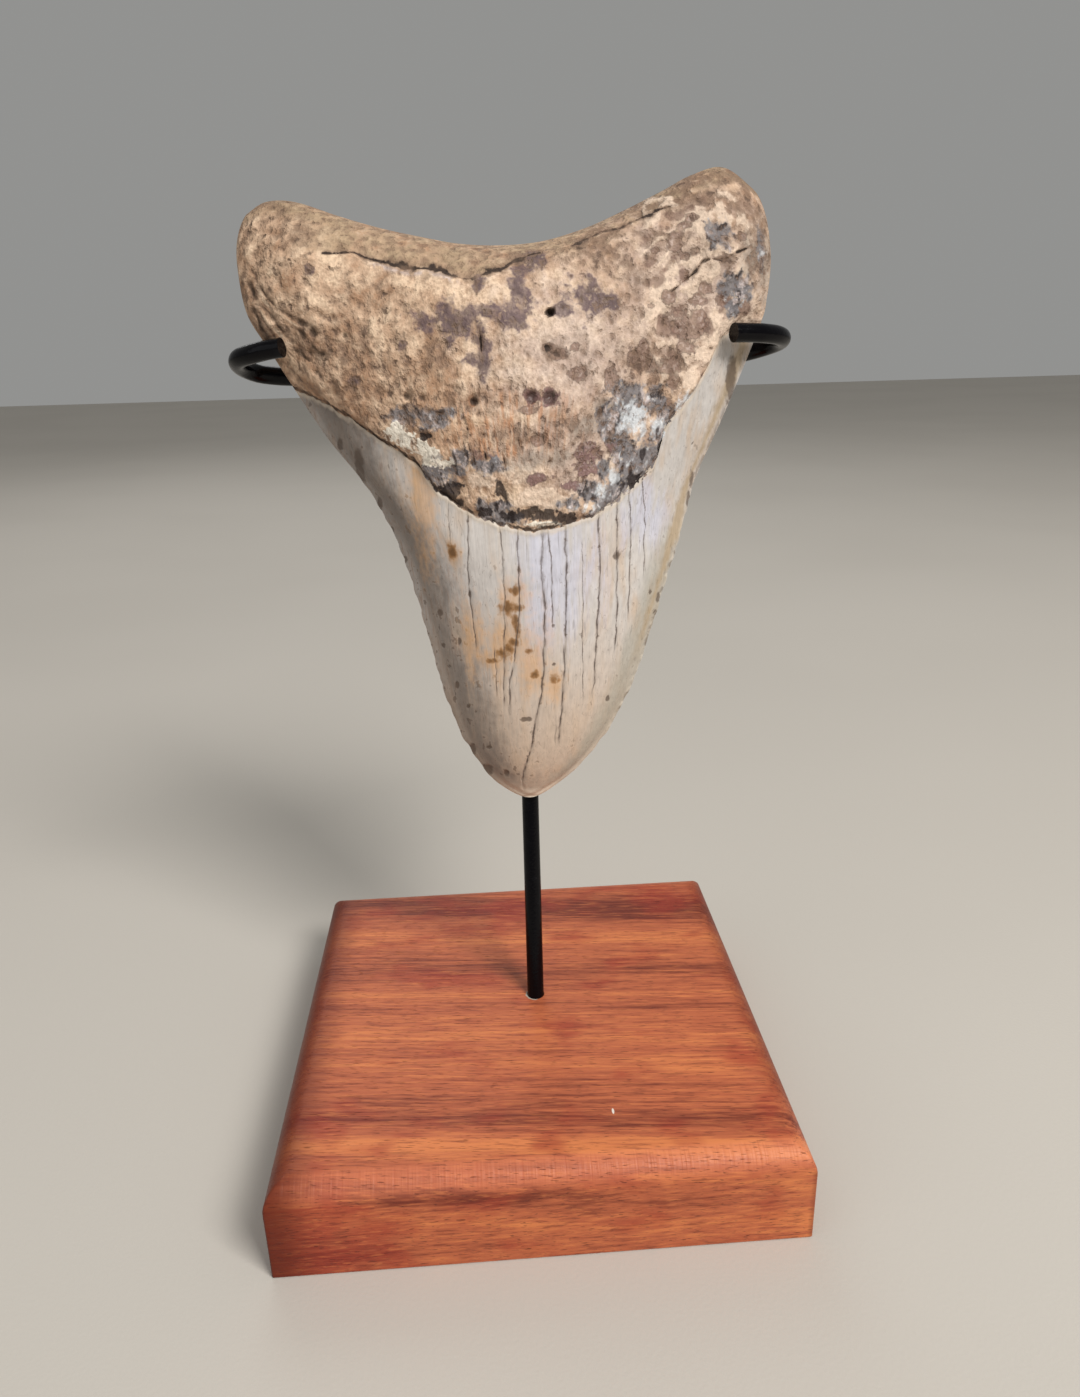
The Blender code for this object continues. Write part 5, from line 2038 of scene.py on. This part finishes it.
    def left_folds(self) -> np.ndarray:
        """Wrinkles round the left lobe: from -1 on a ridge to 1 in a groove."""
        far = 2.0
        ridges, grooves = (
            np.minimum(self.path_field(paths), far) for paths in (FOLD_RIDGES, FOLD_GROOVES)
        )
        return (ridges - grooves) / far * self.is_front

    def bone_relief(self, fields: dict[str, np.ndarray]) -> np.ndarray:
        """Relief of the root, outwards, in millimetres.

        Args:
            fields: Fields of this face, by name.

        Returns:
            Relief at each place.
        """
        across, up, line = self.grid.across, self.grid.up, self.grid.line
        relief = waves(across, up, self.bone_waves, self.seed)
        for mark, depth in SUNK_DEPTHS.items():
            relief -= depth * ramp(fields[mark.value], *self.sunk_edge)
        relief -= self.pitting() + self.fissure_depth * hump(fields["fissure"], 1.0)
        if not self.is_front:
            return relief
        relief += self.ledge_height * ramp(line, 0.0, self.ledge_width)
        relief -= bulge(line, *self.ledge_groove) * fields["crevice"]
        relief -= self.crest_depth * self.crest_setback()
        relief += self.fold_height * eased(-fields["fold"]) - self.fold_depth * eased(fields["fold"])
        relief += self.ridge_height * fields["ridge"] + self.network_height * fields["network"]
        inside = ramp(across, *self.ripple_right) * ramp(up, *self.ripple_top)
        turns = (across + self.ripple_slope * up) / self.ripple_spacing
        return relief + self.ripple_height * np.sin(math.tau * turns) * inside

    def enamel_relief(self, fields: dict[str, np.ndarray]) -> np.ndarray:
        """Relief of the crown, outwards, in millimetres.

        Args:
            fields: Fields of this face, by name.

        Returns:
            Relief at each place.
        """
        grid = self.grid
        relief = waves(grid.across * self.growth_squeeze, grid.up, self.growth_waves)
        relief += waves(grid.across, grid.up, self.enamel_waves)
        cracks = hump(fields["crack"], self.crack_spread) * fields["crack_share"]
        relief -= self.crack_depth * cracks
        relief -= self.umber_depth * ramp(fields[Mark.UMBER.value], *self.umber_edge)
        relief -= self.stain_depth * ramp(fields[Mark.EDGE_STAIN.value], *self.stain_edge)
        relief += bulge(grid.line, *self.lip)
        for gap in (grid.left_gap, grid.right_gap):
            relief -= bulge(gap, *self.bevel)
        return relief

    def fields(self) -> dict[str, np.ndarray]:
        """Fields of the shader and the relief, by name."""
        grid = self.grid
        made = {mark.value: self.patch_field(mark) for mark in Mark}
        made["crack"], made["crack_share"] = self.crack_fields()
        made["fissure"] = self.path_field(self.fissures)
        right = stretch(grid.across, self.right_across) * stretch(grid.up, self.right_up)
        right = right * self.is_front
        made["ridge"] = right * waves(grid.across, grid.up, self.ridges)
        veins = 1 - abs(waves(grid.across, grid.up, self.veins))
        vein_share, ridge_share = self.network_shares
        made["network"] = right * (vein_share * veins + ridge_share * made["ridge"])
        made["fold"] = self.left_folds()
        made["fan_turn"] = np.arctan2(grid.across, grid.up - self.fan_low) * self.fan_radius * MM
        made["fan_reach"] = np.hypot(grid.across, grid.up - self.fan_low) * MM
        top = ramp(grid.rise[:, None], *self.crest_rows) * grid.is_root[:, None]
        made["crest"] = np.maximum(self.crest_setback(), top)
        # Strength of the painted shadow along the root line, weaker to the right.
        right_of = ramp(grid.across, *self.crevice_right)
        made["crevice"] = between(1.0, self.crevice_rest, right_of)
        made["rim"] = self.crest_rim()
        streak = bulge(grid.across, *self.streak_across)
        made["streak"] = stretch(grid.up, self.streak_up) * streak
        made["line"] = np.clip(grid.line, -self.line_far, self.line_far)
        made["left_gap"] = grid.left_gap
        made["right_gap"] = grid.right_gap
        made["height"] = grid.up
        return made

    def relief(self, fields: dict[str, np.ndarray]) -> np.ndarray:
        """Relief of this face, held back where the stand touches the tooth.

        Args:
            fields: Fields of this face, by name; the depth of its pits is added, which the shader paints
                as shade.

        Returns:
            Relief outwards, in millimetres.
        """
        grid = self.grid
        is_root = grid.is_root[:, None]
        bone = self.bone_relief(fields)
        made = np.where(is_root, bone, self.enamel_relief(fields))
        fields["hollow"] = np.where(is_root, self.pitting(), 0.0)
        rounding = grid.edge() * grid.top()
        made = made * rounding
        if not self.is_front:
            return np.minimum(made * self.back_share, 0.0) - self.back_drop * rounding
        calm = np.zeros(grid.up.shape)
        for across, up in self.hooks:
            off = np.hypot(grid.across - across, grid.up - up) / self.hook_reach
            calm = np.maximum(calm, np.exp(-off ** self.hook_bluntness))
        return made * (1 - calm) + np.minimum(made, 0.0) * calm * self.hook_dents


@dataclass
class FossilTooth:
    """Crown and root in one closed mesh, held tip down and leaning back."""

    tip: Size3 = (0.0023, 0.0097, 0.0652)
    lean_back: float = math.radians(9.0)
    columns: int = 236
    crown_rows: int = 165
    root_rows: int = 150
    column_packing: float = 0.65
    row_packing: float = 0.5
    tip_packing: float = 1.15
    sharp_angle: float = 55.0
    form: ToothForm = field(default_factory=ToothForm)

    def packed(self, even: np.ndarray, packing: float) -> np.ndarray:
        """Move even shares closer together near 1, or near both ends when they start at -1."""
        return between(even, np.sin(np.pi / 2 * even), packing)

    def front_grid(self) -> Grid:
        """Full grid of the front face, from above the tip to the top edge."""
        even = np.linspace(-1.0, 1.0, self.columns + 1)
        side = (self.packed(even, self.column_packing) + 1) / 2
        crown = (np.arange(1, self.crown_rows + 1) / self.crown_rows) ** self.tip_packing
        root = self.packed(np.arange(1, self.root_rows + 1) / self.root_rows, self.row_packing)
        return self.form.grid(side, crown, root)

    def thickness(self, grid: Grid) -> tuple[np.ndarray, np.ndarray]:
        """Front and back thickness of the whole tooth.

        Args:
            grid: Grid of the face.

        Returns:
            Thickness on each side of the plane of the cutting edges.
        """
        rows = int(np.count_nonzero(~grid.is_root))
        crown = self.form.crown_thickness(grid.side[None, :], grid.rise[:rows, None])
        root = self.form.root_thickness(grid, slice(rows, None))
        rounding = grid.top()[rows:]
        front = np.vstack([crown[0], root[0] * rounding])
        back = np.vstack([crown[1], root[1] * rounding])
        return front, back

    def surfaces(self) -> tuple[Surface, Surface]:
        """Front and back faces with their own marks."""
        grid = self.front_grid()
        front = Surface(
            grid, FRONT_MARKS, FRONT_CRACKS, ROOT_FISSURES, FRONT_PITS, seed=7, is_front=True
        )
        back = Surface(
            grid.thinned(), BACK_MARKS, BACK_CRACKS, BACK_FISSURES, BACK_PITS, seed=19,
            is_front=False,
        )
        return front, back

    def sheets(self, front: Grid, back: Grid) -> tuple[np.ndarray, np.ndarray, np.ndarray]:
        """Number the vertices of both faces; the back shares those on the outline.

        Args:
            front: Grid of the front.
            back: Grid of the back, every other row and column of the front's.

        Returns:
            Vertex numbers of the front, of the back, and which of the back's are its own.
        """
        front_numbers = 1 + np.arange(front.up.size).reshape(front.up.shape)
        own = np.ones(back.up.shape, dtype=bool)
        own[:, 0] = own[:, -1] = own[-1, :] = False
        back_numbers = front_numbers[::2, ::2].copy()
        back_numbers[own] = 1 + front.up.size + np.arange(int(own.sum()))
        return front_numbers, back_numbers, own

    def faces(self, front: np.ndarray, back: np.ndarray) -> list[Any]:
        """Faces of the closed tooth.

        Args:
            front: Vertex numbers of the front.
            back: Vertex numbers of the back.

        Returns:
            Triangles round the tip, quads, and five-sided faces along the outline.
        """
        quads = np.stack(
            [front[:-1, :-1], front[:-1, 1:], front[1:, 1:], front[1:, :-1]], axis=-1)
        made: list[Any] = quads.reshape(-1, 4).tolist()
        made += [(0, b, a) for a, b in zip(front[0, :-1][::-1], front[0, 1:][::-1])]
        made += [(0, a, b) for a, b in zip(back[0, :-1], back[0, 1:])]
        rows, columns = back.shape
        for row in range(rows - 1):
            for column in range(columns - 1):
                low, high = back[row], back[row + 1]
                face = [low[column], high[column], high[column + 1], low[column + 1]]
                if column == 0:
                    face.insert(1, front[2 * row + 1, 0])
                if row == rows - 2:
                    face.insert(len(face) - 2, front[-1, 2 * column + 1])
                if column == columns - 2:
                    face.insert(len(face) - 1, front[2 * row + 1, -1])
                made.append(face)
        return made

    def mesh(self) -> bpy.types.Mesh:
        """Mesh of the tooth in its own frame, with the fields of its shader.

        Returns:
            The mesh.
        """
        front, back = self.surfaces()
        front_fields, back_fields = front.fields(), back.fields()
        front_depth = self.thickness(front.grid)[0] + front.relief(front_fields)
        back_depth = self.thickness(back.grid)[1] + back.relief(back_fields)
        front_depth[:, 0] = front_depth[:, -1] = front_depth[-1, :] = 0.0
        front_numbers, back_numbers, own = self.sheets(front.grid, back.grid)
        front_places = np.stack([front.grid.across, -front_depth, front.grid.up], axis=-1)
        back_places = np.stack([back.grid.across, back_depth, back.grid.up], axis=-1)
        places = np.vstack([np.zeros((1, 3)), front_places.reshape(-1, 3), back_places[own]])
        fields = {
            name: np.concatenate([
                front_fields[name][:1, self.columns // 2], front_fields[name].ravel(),
                back_fields[name][own],
            ])
            for name in front_fields
        }
        faces = self.faces(front_numbers, back_numbers)
        return make_mesh("fossil_tooth", places * MM, faces, fields, self.sharp_angle)

    def build(self, finish: FossilSurface) -> list[bpy.types.Object]:
        """Build the tooth.

        Args:
            finish: Finish of bone and enamel.

        Returns:
            The pieces made.
        """
        pose = Matrix.Translation(self.tip) @ Matrix.Rotation(-self.lean_back, 4, "X")
        mesh = self.mesh()
        return [place_piece("fossil_tooth", mesh, finish.material(), pose, "tooth")]


# Studio


@dataclass(frozen=True)
class SoftLight:
    """Large square light that looks at the object."""

    name: str
    place: Size3
    size: float
    power: float
    colour: tuple[float, float, float]


@dataclass
class Studio:
    """Pale floor, soft lights and the camera at the photograph's angle."""

    floor_half: float = 3.0
    look_at: Size3 = (0.0, 0.0, 0.1)
    world_colour: tuple[float, float, float] = (0.80, 0.80, 0.78)
    world_strength: float = 0.36
    lights: tuple[SoftLight, ...] = (
        SoftLight("key_light", (0.55, -0.7, 0.95), 0.45, 14.0, (1.0, 0.98, 0.95)),
        SoftLight("fill_light", (-0.95, -0.65, 0.6), 0.9, 1.6, (0.93, 0.96, 1.0)),
        SoftLight("rim_light", (-0.25, 0.95, 0.9), 0.7, 2.5, (1.0, 1.0, 1.0)),
    )
    camera_place: Size3 = (-0.006293, -0.186583, 0.159886)
    camera_pitch: float = 0.350372
    camera_yaw: float = 0.057523
    camera_roll: float = -0.026433
    focal_pixels: float = 993.36
    long_side_pixels: float = 1397.0
    sensor_width: float = 36.0
    nearest: float = 0.01
    farthest: float = 20.0

    def add_floor(self, finish: StudioFloor) -> None:
        """Floor under the base.

        Args:
            finish: Finish of the floor.
        """
        half = self.floor_half
        corners = [(-half, -half, 0.0), (half, -half, 0.0), (half, half, 0.0), (-half, half, 0.0)]
        mesh = make_mesh("studio_floor", corners, [(0, 1, 2, 3)])
        mesh.materials.append(finish.material())
        floor = bpy.data.objects.new("studio_floor", mesh)
        bpy.context.scene.collection.objects.link(floor)

    def add_light(self, given: SoftLight) -> None:
        """One soft light.

        Args:
            given: Its place, size, power and colour.
        """
        lamp = bpy.data.lights.new(given.name, "AREA")
        lamp.shape = "SQUARE"
        lamp.size = given.size
        lamp.energy = given.power
        lamp.color = given.colour
        item = bpy.data.objects.new(given.name, lamp)
        item.location = given.place
        facing = Vector(self.look_at) - Vector(given.place)
        item.rotation_euler = facing.to_track_quat("-Z", "Y").to_euler()
        bpy.context.scene.collection.objects.link(item)

    def add_world(self) -> None:
        """Even pale light from all round."""
        world = bpy.data.worlds.new("studio_world")
        world.use_nodes = True
        background = world.node_tree.nodes["Background"]
        background.inputs["Color"].default_value = (*self.world_colour, 1.0)
        background.inputs["Strength"].default_value = self.world_strength
        bpy.context.scene.world = world

    def add_camera(self) -> None:
        """Camera at the photograph's viewing angle."""
        pitch, yaw, roll = self.camera_pitch, self.camera_yaw, self.camera_roll
        ahead = Vector((
            math.sin(yaw) * math.cos(pitch), math.cos(yaw) * math.cos(pitch), -math.sin(pitch)))
        level = Vector((math.cos(yaw), -math.sin(yaw), 0.0))
        upright = level.cross(ahead)
        right = level * math.cos(roll) + upright * math.sin(roll)
        up = upright * math.cos(roll) - level * math.sin(roll)
        pose = Matrix((right, up, -ahead)).transposed().to_4x4()
        data = bpy.data.cameras.new("camera")
        data.sensor_width = self.sensor_width
        data.lens = self.focal_pixels / self.long_side_pixels * self.sensor_width
        data.clip_start = self.nearest
        data.clip_end = self.farthest
        camera = bpy.data.objects.new("camera", data)
        camera.matrix_world = Matrix.Translation(self.camera_place) @ pose
        bpy.context.scene.collection.objects.link(camera)
        bpy.context.scene.camera = camera

    def build(self, finish: StudioFloor) -> None:
        """Build floor, lights, world and camera.

        Args:
            finish: Finish of the floor.
        """
        self.add_floor(finish)
        for light in self.lights:
            self.add_light(light)
        self.add_world()
        self.add_camera()
        bpy.context.scene.view_settings.view_transform = "Standard"


def main() -> None:
    """Build every part and the studio round them."""
    logging.basicConfig(level=logging.INFO, format="%(message)s")
    pieces = [
        *WoodBase().build(OiledHardwood()),
        *WireStand().build(BlackPaint()),
        *FossilTooth().build(FossilSurface()),
    ]
    Studio().build(StudioFloor())
    for piece in pieces:
        LOG.info("%s: %d faces", piece.name, len(piece.data.polygons))


if __name__ == "__main__":
    main()
